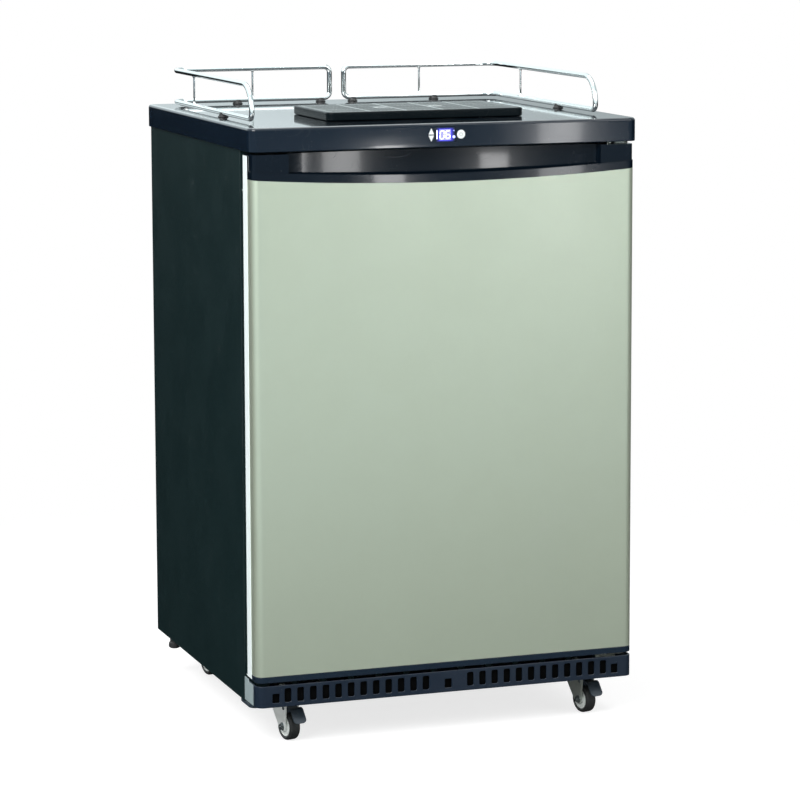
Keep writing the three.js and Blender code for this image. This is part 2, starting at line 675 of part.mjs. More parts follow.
function makeWorktop() {
  const edge = worktop.edgeRadius;
  const steps = 4;
  const rings = [worktopPlan(0, worktopBottom)];
  for (let i = 0; i <= steps; i++) {
    const angle = (i / steps) * (Math.PI / 2);
    rings.push(worktopPlan(edge * (1 - Math.cos(angle)), worktopTop - edge * (1 - Math.sin(angle))));
  }
  const shelfBack = cabinetFront - 3 * clearance - hinge.plate;
  const ceiling = cabinetTop + clearance;
  const overCabinet = block(span(cabinetSide + worktop.fit), [shelfBack, cabinetBack + worktop.fit],
    [worktopBottom - overrun, ceiling]);
  const frontPlan = roundedBox(span(worktopSide - worktop.wall), [frontY + worktop.wall, shelfBack + overrun],
    worktop.frontRadius - worktop.wall, 0, 5);
  const frontRoom = prism("z", [worktopBottom + worktop.shelf, ceiling], frontPlan);
  const through = [frontY - overrun, frontY + worktop.wall + overrun];
  const z = worktopTop - controls.lift;
  const window = block(around(controls.windowX, controls.windowWidth + 2 * clearance), through,
    around(z, controls.windowHeight + 2 * clearance));
  const power = prism("y", through,
    circle([controls.powerX, z], controls.powerDiameter / 2 + clearance, 24));
  const arrows = [true, false].map((up) => prism("y", through, arrowOutline(up, clearance)));
  const bore = moved(rod(tower.bore / 2 + tower.wall + clearance, span(worktop.skirt), 24), 0, towerY,
    worktopTop);
  add("worktop", cut(lofted(rings), [overCabinet, frontRoom, window, power, ...arrows, bore]), glossBlack);
}

function makeControls() {
  const z = worktopTop - controls.lift;
  const wallBack = frontY + worktop.wall;
  const flange = [wallBack + clearance, wallBack + clearance + controls.lipDepth];
  const face = block(around(controls.windowX, controls.windowWidth), [frontY, flange[1]],
    around(z, controls.windowHeight));
  const lip = block(around(controls.windowX, controls.windowWidth + 2 * controls.lip), flange,
    around(z, controls.windowHeight + 2 * controls.lip));
  add("display_window", join([face, lip]), blackAcrylic);

  const powerCap = prism("y", [frontY, flange[1]],
    circle([controls.powerX, z], controls.powerDiameter / 2, 24));
  const powerFlange = prism("y", flange,
    circle([controls.powerX, z], controls.powerDiameter / 2 + controls.keeper, 24));
  add("power_button", join([powerCap, powerFlange]), buttonWhite);

  for (const [name, up] of [["up_button", true], ["down_button", false]]) {
    const hand = up ? 1 : -1;
    const key = prism("y", [frontY, flange[1]], arrowOutline(up, 0));
    const mid = z + hand * (controls.arrowGap / 2 + controls.arrowHeight / 2);
    const keeper = block(around(controls.arrowX, controls.arrowWidth + 2 * controls.keeper), flange,
      around(mid + (hand * controls.keeper) / 2, controls.arrowHeight + controls.keeper));
    add(name, join([key, keeper]), buttonWhite);
  }

  const boardFront = frontY + controls.boardInset;
  const board = block(span(controls.boardWidth / 2), [boardFront, boardFront + controls.boardThickness],
    around(z, controls.boardHeight));
  const display = block(around(controls.windowX, controls.windowWidth - controls.lip),
    [flange[1] + clearance, boardFront + clearance], around(z, controls.windowHeight - controls.lip));
  const switchFront = boardFront - controls.switchHeight;
  const arrowMid = controls.arrowGap / 2 + controls.arrowHeight / 2;
  const switches = [[controls.powerX, 0], [controls.arrowX, arrowMid], [controls.arrowX, -arrowMid]].map(
    ([x, lift]) => block(around(x, controls.switchSize), [switchFront, boardFront + clearance],
      around(z + lift, controls.switchSize)));
  const posts = [-1, 1].map((hand) =>
    block(around(hand * (controls.boardWidth / 2 - controls.postWidth), controls.postWidth),
      [boardFront, boardFront + controls.boardThickness],
      [worktopBottom + worktop.shelf + clearance, z]));
  add("control_board", join([board, display, ...switches, ...posts]), boardGreen);
}

function makeLineSleeve() {
  const bore = tower.bore / 2;
  const outer = bore + tower.wall;
  const profile = [
    [bore, cavityHead], [outer, cavityHead], [outer, deckSeat], [tower.flange / 2, deckSeat],
    [tower.flange / 2, deckSeat + tower.flangeHeight], [bore, deckSeat + tower.flangeHeight],
    [bore, cavityHead],
  ];
  add("beer_line_sleeve", moved(turned(profile, 24), 0, towerY, 0), nylon);

  const low = deckSeat + tower.flangeHeight + clearance;
  const plug = bore - clearance;
  const cap = [
    [plug - tower.wall, low - tower.plug], [plug, low - tower.plug], [plug, low], [tower.flange / 2, low],
    [tower.flange / 2, low + tower.capHeight], [0, low + tower.capHeight], [0, low],
    [plug - tower.wall, low], [plug - tower.wall, low - tower.plug],
  ];
  add("beer_line_cap", moved(turned(cap, 24), 0, towerY, 0), rubberBlack);
}

// Guard rail: each half is one bent loop of tube with balusters, standing on feet
function railPlaces() {
  return {
    side: cabinetSide - rail.sideInset,
    front: frontY + rail.frontSet,
    back: backY - rail.backInset,
    low: worktopTop + rail.lowBar,
    high: worktopTop + rail.highBar,
    inner: rail.centreGap / 2 + rail.diameter / 2,
  };
}

function makeRail(name, hand) {
  const { side, front, back, low, high, inner } = railPlaces();
  const x = hand * side;
  const middle = (low + high) / 2;
  const lowRun = [
    [hand * inner, back, middle, 0],
    [hand * inner, back, low, rail.endBend],
    [x, back, low, rail.backRadius],
    [x, front, low, rail.endBend],
    [x, front, middle - rail.diameter, 0],
  ];
  const highRun = [
    [hand * inner, back, middle - rail.diameter, 0],
    [hand * inner, back, high, rail.endBend],
    [x, back, high, rail.backRadius],
    [x, front, high, rail.frontBend],
    [x, front, middle - 2 * rail.diameter, 0],
  ];
  const radius = rail.diameter / 2;
  const runs = [lowRun, highRun].map((corners) => tube(bentRoute(corners, 4), radius, 8));
  const stick = (u, v) => moved(rod(rail.baluster / 2, [low, high], 8), u, v, 0);
  const sticks = [stick(x, frontY + rail.sideBaluster), stick(hand * (side - rail.backBaluster), back)];
  add(name, join([...runs, ...sticks]), chrome);
}

function makeRailFeet(side, hand) {
  const place = railPlaces();
  const spots = [
    ["side", hand * place.side, frontY + rail.footSide + rail.frontSet, false],
    ["back", hand * (place.side - rail.footBack), place.back, true],
    ["centre", hand * (place.inner + rail.endBend + rail.footDiameter / 2), place.back, true],
  ];
  const radius = rail.diameter / 2 + clearance;
  for (const [spot, x, y, acrossX] of spots) {
    const post = rod(rail.footDiameter / 2, [deckSeat, place.low], 14);
    const half = rail.footDiameter;
    const channel = rod(radius, span(half), 12).rotate([acrossX ? 0 : 90, acrossX ? 90 : 0, 0]);
    add("rail_foot_" + side + "_" + spot, moved(cut(post, [moved(channel, 0, 0, place.low)]), x, y, 0),
      rubberBlack);
  }
}

// Drip tray
function trayPlan(inset) {
  const { front, middleY } = trayPlaces();
  const half = tray.width / 2 - inset;
  const depth = [front + inset, 2 * middleY - front - inset];
  return roundedBox(span(half), depth, tray.chamfer - inset, tray.chamfer - inset, 2);
}

function trayPlaces() {
  const front = frontY + tray.frontSet;
  return { front, middleY: front + tray.depth / 2, low: deckSeat, high: deckSeat + tray.height };
}

function makeDripTray() {
  const { low, high } = trayPlaces();
  const ringAt = (inset, z) => trayPlan(inset).map(([x, y]) => [x, y, z]);
  const body = lofted([ringAt(tray.edge, low), ringAt(0, low + tray.edge), ringAt(0, high - tray.edge),
    ringAt(tray.edge, high)]);
  const seat = prism("z", [high - tray.gridDepth, high + overrun], trayPlan(tray.edge + tray.wall));
  const well = prism("z", [low + tray.bottom, high], trayPlan(tray.edge + tray.wall + tray.ledge));
  add("drip_tray", cut(body, [seat, well]), glossBlack);
}

function makeDripGrid() {
  const { middleY, high } = trayPlaces();
  const inset = tray.edge + tray.wall + clearance;
  const low = high - tray.gridDepth + clearance;
  const depth = [low, low + grid.thickness];
  const innerWidth = tray.width - 2 * (inset + grid.frame);
  const innerDepth = tray.depth - 2 * (inset + grid.frame);
  const panel = (innerWidth - (grid.panels - 1) * grid.rib) / grid.panels;
  const through = [low - overrun, high + overrun];
  const slots = [];
  for (let i = 0; i < grid.panels; i++) {
    const left = -innerWidth / 2 + i * (panel + grid.rib);
    const pitch = panel / grid.slots;
    for (let k = 0; k < grid.slots; k++) {
      const x = left + k * pitch + pitch / 2;
      slots.push(block(around(x, grid.slotWidth), around(middleY, innerDepth), through));
    }
  }
  const drains = [-1, 1].map((hand) =>
    moved(rod(grid.drainWidth / 2, through, 16).scale([grid.drainLength / grid.drainWidth, 1, 1]),
      (hand * grid.drainSpread) / 2, middleY, 0));
  add("drip_grid", cut(prism("z", depth, trayPlan(inset)), [...slots, ...drains]), steel);
}

// Door
function doorPlan(inset, back) {
  return roundedBox(span(doorSide - inset), [frontY + inset, back], door.cornerRadius - inset, 0, 6);
}

// The curved lower limit of a region above the dipped edge, as an (x, z) outline that runs up past the top
function aboveEdge(lift, half, top) {
  const steps = 16;
  const edge = Array.from({ length: steps + 1 }, (_, i) => {
    const x = -half + (2 * half * i) / steps;
    const share = x / doorSide;
    return [x, skinTop + lift - door.edgeDip * (1 - share * share)];
  });
  return [...edge, [half, top], [-half, top]];
}

function makeDoorSkin() {
  const low = doorBottom + door.trim + clearance;
  const shell = cut(prism("z", [low, skinTop], doorPlan(0, doorBack)), [
    prism("z", [low - overrun, skinTop + overrun], doorPlan(door.sheet, doorBack + overrun)),
  ]);
  const front = [frontY - overrun, frontY + door.cornerRadius];
  const dip = prism("y", front, aboveEdge(0, doorSide + overrun, skinTop + overrun + door.edgeDip));
  add("door_skin", cut(shell, [dip]), doorSilver);
}

// The pocket behind the lip: straight ends, creased shoulders and a slightly hollowed back wall
function pocketPlan(inset, front) {
  const half = doorSide - handle.endBlock - inset;
  const back = frontY + handle.setBack - inset;
  const crease = half - handle.creaseInset;
  const bowSteps = 8;
  const bowed = Array.from({ length: bowSteps + 1 }, (_, i) => {
    const x = crease - (2 * crease * i) / bowSteps;
    const share = x / crease;
    return [x, back + handle.bow * (1 - share * share) - handle.bow];
  });
  return [
    [-half, front], [half, front],
    ...arc([half - handle.endRadius, back - handle.endRadius - handle.bow], handle.endRadius,
      0, Math.PI / 3, 3),
    ...bowed,
    ...arc([-half + handle.endRadius, back - handle.endRadius - handle.bow], handle.endRadius,
      (2 * Math.PI) / 3, Math.PI, 3),
  ];
}

function makeDoorTopCap() {
  const back = doorBack;
  const inset = door.sheet + clearance;
  const capBottom = doorTop - handle.capDepth;
  const outer = prism("z", [skinTop - door.edgeDip, doorTop], doorPlan(0, back));
  const visible = outer.intersect(
    prism("y", [frontY - overrun, back + overrun],
      aboveEdge(clearance, doorSide + overrun, doorTop + overrun)),
  );
  const hidden = prism("z", [capBottom, skinTop + clearance],
    doorPlan(inset, back - door.linerSheet - clearance));
  const lipTop = prism("y", [frontY - overrun, frontY + handle.lipThickness + overrun],
    aboveEdge(door.lip, doorSide - handle.endBlock, doorTop + overrun));
  const pocket = prism("z", [skinTop - door.edgeDip + door.lip - handle.pocketDepth, doorTop + overrun],
    pocketPlan(0, frontY + handle.lipThickness));
  const aboveLip = prism("z", [skinTop + door.lip - door.edgeDip, doorTop + overrun],
    pocketPlan(0, frontY - overrun)).intersect(lipTop);
  const linerRoom = block(span(doorSide - inset), [doorBack - door.linerSheet - clearance, back + overrun],
    [capBottom - overrun, doorTop - door.sheet]);
  const socket = rod(hinge.pinDiameter / 2 + hinge.bushWall + 2 * clearance,
    [doorTop - hinge.pinLength - 2 * clearance, doorTop + overrun], 20);
  const cutters = [pocket, aboveLip, linerRoom, moved(socket, pinX, pinY, 0)];
  add("door_top_cap", cut(join([visible, hidden]), cutters), glossBlack);
}

function makeDoorBottomTrim() {
  const inset = door.sheet + clearance;
  const top = doorBottom + door.trim;
  const plate = prism("z", [doorBottom, top], doorPlan(0, doorBack));
  const spigot = prism("z", [top - clearance, top + door.spigot],
    doorPlan(inset, doorBack - door.linerSheet - clearance));
  const linerY = [doorBack - door.linerSheet - clearance, doorBack + overrun];
  const linerRoom = block(span(doorSide - inset), linerY,
    [doorBottom + door.sheet, top + door.spigot + overrun]);
  const socket = rod(hinge.pinDiameter / 2 + hinge.bushWall + 2 * clearance,
    [doorBottom - overrun, doorBottom + hinge.pinLength + 2 * clearance], 20);
  add("door_bottom_trim", cut(join([plate, spigot]), [linerRoom, moved(socket, pinX, pinY, 0)]), glossBlack);
}

function doorPanPlan() {
  const outerSide = cabinetSide - dike.inset;
  const low = cavityFloor + dike.footGap;
  const high = cavityHead - dike.headGap;
  const sheet = door.linerSheet;
  const box = (inset, y) => block(span(outerSide - inset), y, [low + inset, high - inset]);
  return { box, sheet };
}

function makeDoorLiner() {
  const { box, sheet } = doorPanPlan();
  const inset = door.sheet + clearance;
  const face = doorBack;
  const plate = block(span(doorSide - inset), [face - sheet, face],
    [doorBottom + door.sheet + clearance, doorTop - door.sheet - clearance]);
  const top = face + dike.rise;
  const panFloor = face - dike.panDepth;
  const ridge = box(0, [face - sheet, top]);
  const pan = box(dike.width, [panFloor - sheet, top]);
  const hollow = cut(box(sheet, [face - sheet - overrun, top - sheet]), [
    box(dike.width, [panFloor - sheet - overrun, top]),
  ]);
  const panRoom = box(dike.width + sheet, [panFloor, top + overrun]);
  add("door_inner_liner", cut(join([plate, ridge, pan]), [hollow, panRoom]), linerWhite);
}

function makeDoorFoam() {
  const { box, sheet } = doorPanPlan();
  const inset = door.sheet + clearance;
  const low = doorBottom + door.trim + door.spigot + clearance;
  const high = doorTop - handle.capDepth - clearance;
  const rear = doorBack - sheet - clearance;
  const body = prism("z", [low, high], doorPlan(inset, rear));
  const pan = box(dike.width - clearance, [doorBack - dike.panDepth - sheet - clearance, doorBack]);
  add("door_foam", cut(body, [pan]), foamYellow);
}

function makeDoorGasket() {
  const y = [doorBack + clearance, doorBack + clearance + gasket.thickness];
  const frame = (inset, depth) => block(span(doorSide - gasket.sideInset - inset), depth,
    [doorBottom + gasket.endInset + inset, doorTop - gasket.endInset - inset]);
  const through = [y[0] - overrun, y[1] + overrun];
  add("door_gasket", cut(frame(0, y), [frame(gasket.width, through)]), rubberGrey);
}

function makeHinges() {
  const pin = hinge.pinDiameter / 2;
  const bush = pin + clearance;
  const plateY = [cabinetFront - clearance - hinge.plate, cabinetFront - clearance];
  const x = [pinX - hinge.armWidth / 2, pinX + hinge.edge - hinge.plate];
  const arm = (z) => join([
    block(x, [pinY, plateY[1]], z),
    moved(rod(hinge.edge - hinge.plate, z, 20), pinX, pinY, 0),
  ]);

  const upper = doorTop + (door.headGap - hinge.plate) / 2;
  const upperArm = arm([upper, upper + hinge.plate]);
  const upperPlate = block(x, plateY, [upper, upper + hinge.upperRise]);
  const upperPin = moved(rod(pin, [doorTop - hinge.pinLength, upper + clearance], 20), pinX, pinY, 0);
  add("top_hinge", join([upperArm, upperPlate, upperPin]), zinc);

  const lower = doorBottom - (door.footGap - hinge.plate) / 2 - hinge.plate;
  const lowerArm = arm([lower, lower + hinge.plate]);
  const lowerPlate = block(x, plateY, [lower + hinge.plate - hinge.lowerRise, lower + hinge.plate]);
  const lowerPin = moved(
    rod(pin, [lower + hinge.plate - clearance, doorBottom + hinge.pinLength], 20), pinX, pinY, 0);
  add("bottom_hinge", join([lowerArm, lowerPlate, lowerPin]), zinc);

  const outer = bush + hinge.bushWall;
  const upperBush = ring(outer, bush, [doorTop - hinge.pinLength - clearance, doorTop], 20);
  const lowerBush = ring(outer, bush, [doorBottom, doorBottom + hinge.pinLength + clearance], 20);
  add("top_hinge_bush", moved(upperBush, pinX, pinY, 0), nylon);
  add("bottom_hinge_bush", moved(lowerBush, pinX, pinY, 0), nylon);
}

// Casters: built with the swivel axis on Z at the origin, the wheel trailing towards +Y or -Y
function makeCaster(name, x, y, braked) {
  const place = new THREE.Group();
  place.position.set(x, y, 0);
  kegerator.add(place);

  const raceLow = caster.height - caster.race;
  const stem = join([
    rod(caster.raceDiameter / 2, [raceLow, caster.height], 16),
    rod(caster.stem / 2, [raceLow, baseTop + caster.stemLength], 12),
    rod(caster.boss / 2, [raceLow - caster.race, caster.height], 12),
  ]);
  add("caster_stem_" + name, stem, zinc, place);

  const turntable = new THREE.Group();
  turntable.rotation.z = THREE.MathUtils.degToRad(caster.yaw);
  place.add(turntable);
  const facets = 20;
  const radius = caster.wheelDiameter / 2;
  const corner = radius / Math.cos(Math.PI / facets);
  const axleZ = radius;
  const legIn = caster.wheelWidth / 2 + caster.forkGap;
  const legOut = legIn + caster.forkSheet;
  const topHigh = raceLow - clearance;
  const topLow = topHigh - caster.forkSheet;
  const topRadius = caster.raceDiameter / 2;
  const disc = ring(topRadius, caster.boss / 2 + clearance, [topLow, topHigh], 16);
  const legBack = topRadius * caster.legShare;
  const lugY = -caster.trail - brake.pivotSet - brake.lug;
  const lugZ = axleZ + radius + brake.pivotRise;
  const sideView = [
    [-caster.trail - caster.axle, axleZ - caster.axle / 2],
    [-caster.trail + caster.axle, axleZ - caster.axle],
    [legBack, topLow - caster.axle],
    [legBack, topHigh],
    [-topRadius, topHigh],
    [lugY, lugZ + brake.lug],
    [lugY, lugZ - brake.lug],
    [-caster.trail - caster.axle, axleZ + caster.axle],
  ];
  const legs = [[-legOut, -legIn], [legIn, legOut]].map((x2) => prism("x", x2, sideView));
  const bridge = cut(block(span(legOut), [-topRadius, legBack], [topLow, topHigh]), [
    rod(caster.boss / 2 + clearance, [topLow - overrun, topHigh + overrun], 16),
  ]);
  const axle = rod(caster.axle / 2, span(legOut + caster.capThickness), 10).rotate([0, 90, 0]);
  add("caster_fork_" + name, join([disc, bridge, ...legs, moved(axle, 0, -caster.trail, axleZ)]), zinc,
    turntable);

  const half = caster.wheelWidth / 2;
  const hub = caster.hub;
  const bore = caster.axle / 2 + clearance;
  const dished = half - caster.sideDish;
  const tread = caster.tread / 2;
  const profile = [
    [bore, -half], [caster.axle, -half], [caster.axle, -dished], [hub, -dished], [hub, -half],
    [corner - tread, -half], [corner, -half + tread], [corner, half - tread], [corner - tread, half],
    [hub, half], [hub, dished], [caster.axle, dished], [caster.axle, half], [bore, half], [bore, -half],
  ];
  const wheel = turned(profile, facets).rotate([0, 0, 180 / facets]).rotate([0, 90, 0]);
  add("caster_wheel_" + name, moved(wheel, 0, -caster.trail, axleZ), rubberBlack, turntable);

  if (braked) addBrake(name, turntable, axleZ + radius);
}

function addBrake(name, turntable, tyreTop) {
  const y = -caster.trail - brake.pivotSet;
  const z = tyreTop + brake.pivotRise;
  const between = caster.wheelWidth / 2;
  const knee = y - brake.arm;
  const foot = knee - brake.kneeRun;
  const line = [[y, z], [knee, z], [foot, z - brake.drop], [foot - brake.footLength, z - brake.drop]];
  const plate = prism("x", span(brake.width / 2), strip(line.slice(1), brake.sheet));
  const neck = prism("x", span(between), strip([[y, z], [knee - brake.sheet, z]], brake.sheet));
  const pin = rod(brake.pin / 2, span(between + caster.forkGap - clearance), 12).rotate([0, 90, 0]);
  const pad = block(span(between - caster.sideDish), around(y, brake.padLength), [tyreTop + brake.padGap, z]);
  add("brake_lever_" + name, join([plate, neck, moved(pin, 0, y, z), pad]), zinc, turntable);
}

makeCabinetWrap();
makeInnerLiner();
makeInsulation();
makeBackPanel();
makeUnderbodyPanel();
makeCompressorCover();
makeCordGland();
makeBasePan();
makeCrossRail();
makeBaseGrille();
makeCompressor();
makeDrainPan();
makeCondenser();
makeDrier();
makeFan();
makeEvaporator();
makeKegPlate();
makeWorktop();
makeControls();
makeLineSleeve();
for (const [side, hand] of [["left", -1], ["right", 1]]) {
  makeRail("guard_rail_" + side, hand);
  makeRailFeet(side, hand);
}
makeDripTray();
makeDripGrid();
makeDoorSkin();
makeDoorTopCap();
makeDoorBottomTrim();
makeDoorLiner();
makeDoorFoam();
makeDoorGasket();
makeHinges();
for (const [name, x, y] of casterPlaces()) makeCaster(name, x, y, name.startsWith("front"));

export default kegerator;
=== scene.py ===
import json
import math

import bmesh
import bpy
from mathutils import Matrix, Vector

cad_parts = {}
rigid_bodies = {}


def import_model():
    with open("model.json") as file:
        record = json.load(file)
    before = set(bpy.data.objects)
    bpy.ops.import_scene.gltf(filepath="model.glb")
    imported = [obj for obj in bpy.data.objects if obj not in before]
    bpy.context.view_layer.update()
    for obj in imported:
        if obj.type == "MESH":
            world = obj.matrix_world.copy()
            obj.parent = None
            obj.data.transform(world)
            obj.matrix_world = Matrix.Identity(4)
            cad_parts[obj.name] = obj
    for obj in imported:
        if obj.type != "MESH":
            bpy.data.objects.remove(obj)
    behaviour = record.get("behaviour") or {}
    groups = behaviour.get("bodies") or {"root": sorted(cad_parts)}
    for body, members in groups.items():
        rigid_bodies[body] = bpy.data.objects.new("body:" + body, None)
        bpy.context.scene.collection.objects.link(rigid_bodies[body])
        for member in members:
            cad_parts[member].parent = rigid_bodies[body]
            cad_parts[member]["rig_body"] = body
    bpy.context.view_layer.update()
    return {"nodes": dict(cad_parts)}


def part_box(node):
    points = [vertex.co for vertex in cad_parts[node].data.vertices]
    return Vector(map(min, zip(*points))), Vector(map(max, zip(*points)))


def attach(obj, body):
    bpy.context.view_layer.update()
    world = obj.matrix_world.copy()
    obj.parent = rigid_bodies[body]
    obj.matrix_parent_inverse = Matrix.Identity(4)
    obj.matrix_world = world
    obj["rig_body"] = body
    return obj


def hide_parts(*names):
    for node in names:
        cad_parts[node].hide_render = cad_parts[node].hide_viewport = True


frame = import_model()
nodes = frame["nodes"]
scene = bpy.context.scene
print("frame loaded")


def pick(look, *keys):
    return [look[key] for key in keys]


# Camera at the photograph's place, with lights and a pale floor
cameraLook = {"place": (-1.6034, -4.6559, 1.2539), "yaw": 19.269, "pitch": 7.678, "roll": -0.181,
              "lens": 143.72, "sensor": 36.0, "shift": -0.10, "near": 0.05, "far": 60.0}


def makeCamera(look):
    yaw, pitch, roll = map(math.radians, pick(look, "yaw", "pitch", "roll"))
    level = Vector((math.sin(yaw), math.cos(yaw), 0.0))
    right = Vector((math.cos(yaw), -math.sin(yaw), 0.0))
    plumb = Vector((0, 0, 1))
    forward = level * math.cos(pitch) - plumb * math.sin(pitch)
    up = plumb * math.cos(pitch) + level * math.sin(pitch)
    across = right * math.cos(roll) + up * math.sin(roll)
    rolledUp = up * math.cos(roll) - right * math.sin(roll)
    data = bpy.data.cameras.new("camera")
    data.lens = look["lens"]
    data.sensor_width = look["sensor"]
    data.shift_y = look["shift"]
    data.clip_start = look["near"]
    data.clip_end = look["far"]
    camera = bpy.data.objects.new("camera", data)
    turn = Matrix((across, rolledUp, -forward)).transposed().to_4x4()
    camera.matrix_world = Matrix.Translation(look["place"]) @ turn
    scene.collection.objects.link(camera)
    scene.camera = camera


lampLooks = [
    {"name": "keyLamp", "place": (-2.4, -2.2, 2.6), "aim": (-0.2, -0.2, 0.7), "size": (2.0, 2.0),
     "power": 147.0},
    {"name": "fillLamp", "place": (2.2, -2.8, 2.4), "aim": (0.1, -0.2, 0.7), "size": (2.0, 2.0),
     "power": 44.0},
    {"name": "topLamp", "place": (0.0, 0.4, 3.6), "aim": (0, 0, 0.5), "size": (3.0, 3.0), "power": 60.0},
    {"name": "stripLamp", "place": (2.08, -4.95, 0.45), "aim": (0.15, -0.28, 0.45), "size": (0.13, 0.60),
     "power": 4.1},
    {"name": "pocketLamp", "place": (1.525, -4.95, 0.40), "aim": (0.08, -0.26, 0.86),
     "size": (0.09, 0.13), "power": 1.1},
]


def makeLamp(look):
    data = bpy.data.lights.new(look["name"], "AREA")
    data.shape = "RECTANGLE"
    data.size, data.size_y = look["size"]
    data.energy = look["power"]
    lamp = bpy.data.objects.new(look["name"], data)
    place = Vector(look["place"])
    aim = Vector(look["aim"]) - place
    lamp.matrix_world = Matrix.Translation(place) @ aim.to_track_quat("-Z", "Y").to_matrix().to_4x4()
    scene.collection.objects.link(lamp)


def addNode(tree, kind, inputs=None, **settings):
    node = tree.nodes.new(kind)
    for key, value in settings.items():
        setattr(node, key, value)
    for key, value in (inputs or {}).items():
        if isinstance(value, bpy.types.NodeSocket):
            tree.links.new(value, node.inputs[key])
        else:
            node.inputs[key].default_value = value
    return node.outputs


def math2(tree, operation, a, b=0.5, clamp=False):
    return addNode(tree, "ShaderNodeMath", {0: a, 1: b}, operation=operation, use_clamp=clamp)[0]


def mixColour(tree, factor, a, b):
    return addNode(tree, "ShaderNodeMix", {0: factor, 6: a, 7: b}, data_type="RGBA")[2]


def mixValue(tree, factor, a, b):
    return addNode(tree, "ShaderNodeMix", {0: factor, 2: a, 3: b}, data_type="FLOAT")[0]


def mapRange(tree, value, low, high, toLow=0.0, toHigh=1.0):
    inputs = {"Value": value, "From Min": low, "From Max": high, "To Min": toLow, "To Max": toHigh}
    return addNode(tree, "ShaderNodeMapRange", inputs, clamp=True, interpolation_type="SMOOTHSTEP")[0]


def noise(tree, vector, scale, detail, roughness=0.5):
    return addNode(tree, "ShaderNodeTexNoise",
                   {"Vector": vector, "Scale": scale, "Detail": detail, "Roughness": roughness})


def axesOf(tree, vector):
    return addNode(tree, "ShaderNodeSeparateXYZ", {"Vector": vector})


def upwardOf(tree):  # how far a face looks up
    return axesOf(tree, addNode(tree, "ShaderNodeNewGeometry")["Normal"])["Z"]


def objectPlace(tree):
    return addNode(tree, "ShaderNodeTexCoord")["Object"]


def rgba(colour):
    return (*colour, 1.0)


black = (0.0, 0.0, 0.0, 1.0)
white = (1.0, 1.0, 1.0, 1.0)


def newMaterial(name):
    material = bpy.data.materials.new(name)
    material.use_nodes = True
    return material, material.node_tree, material.node_tree.nodes["Principled BSDF"].inputs


worldLook = {"camera": 1.0, "low": 0.06, "high": 1.04, "ambient": 0.30, "lowAt": 0.01, "highAt": 0.12,
             "edgeLeft": 0.26, "edgeRight": 0.42, "left": 1.30, "right": 0.70, "tint": (0.85, 0.97, 1.0)}
# the floor's glow for reflection rays, a band ahead of the object and a faint glow near it, is painted
# reflection
floorLook = {"half": 14.0, "bounce": (0.62, 0.63, 0.63), "paintedNearGlow": 0.08, "dark": 0.012, "near": 0.75,
             "far": 1.6, "lift": 0.76, "shadowed": (0.42, 0.42, 0.42), "grain": 30.0, "paintedReflectionBand": 0.50,
             "paintedReflectionNear": 0.9, "paintedReflectionFar": 2.4, "tint": (0.80, 1.0, 1.16), "ahead": (-0.5, -1.0, 0.0),
             "besideLow": 0.10, "besideHigh": 0.60, "rough": 0.9}


def makeWorld(look):
    world = bpy.data.worlds.new("studio")
    world.use_nodes = True
    scene.world = world
    tree = world.node_tree
    back = tree.nodes["Background"].inputs
    path = addNode(tree, "ShaderNodeLightPath")
    axes = axesOf(tree, addNode(tree, "ShaderNodeTexCoord")["Generated"])
    gloss = mapRange(tree, axes["Z"], look["lowAt"], look["highAt"], look["low"], look["high"])
    panel = mapRange(tree, axes["X"], look["edgeLeft"], look["edgeRight"], look["left"], look["right"])
    gloss = math2(tree, "MULTIPLY", gloss, panel)  # the studio wall is brighter to the left
    soft = mixValue(tree, path["Is Glossy Ray"], look["ambient"], gloss)
    tree.links.new(mixValue(tree, path["Is Camera Ray"], soft, look["camera"]), back["Strength"])
    tree.links.new(mixColour(tree, path["Is Glossy Ray"], white, rgba(look["tint"])), back["Color"])


makeCamera(cameraLook)
for lampLook in lampLooks:
    makeLamp(lampLook)
makeWorld(worldLook)
scene.view_settings.view_transform = "Standard"
print("camera and lights made")


# Shared surface effects as node groups
def startGroup(name, values, outputs):
    group = bpy.data.node_groups.new(name, "ShaderNodeTree")
    group.interface.new_socket("Vector", in_out="INPUT", socket_type="NodeSocketVector")
    for label, value in values.items():
        socket = group.interface.new_socket(label, in_out="INPUT", socket_type="NodeSocketFloat")
        socket.default_value = value
    for label in outputs:
        group.interface.new_socket(label, in_out="OUTPUT", socket_type="NodeSocketFloat")
    return group, group.nodes.new("NodeGroupInput").outputs, group.nodes.new("NodeGroupOutput").inputs


def makeGrainGroup():
    group, given, made = startGroup("surfaceGrain", {"Scale": 600.0}, ("Fine", "Coarse"))
    fine = noise(group, given["Vector"], given["Scale"], 3.0, 0.55)
    wide = math2(group, "MULTIPLY", given["Scale"], 0.012)
    coarse = noise(group, given["Vector"], wide, 4.0, 0.6)
    group.links.new(fine[0], made["Fine"])
    group.links.new(mapRange(group, coarse[0], 0.3, 0.7), made["Coarse"])
    return group


def makeWearGroup():
    group, given, made = startGroup("edgeWear", {"Radius": 0.001, "Scale": 90.0}, ("Mask",))
    softened = addNode(group, "ShaderNodeBevel", {"Radius": given["Radius"]}, samples=4)[0]
    flat = addNode(group, "ShaderNodeNewGeometry")["Normal"]
    agreement = addNode(group, "ShaderNodeVectorMath", {0: softened, 1: flat}, operation="DOT_PRODUCT")
    edge = mapRange(group, agreement["Value"], 0.99, 0.85)
    patches = noise(group, given["Vector"], given["Scale"], 5.0, 0.65)
    broken = mapRange(group, patches[0], 0.42, 0.62)
    group.links.new(math2(group, "MULTIPLY", edge, broken), made["Mask"])
    return group


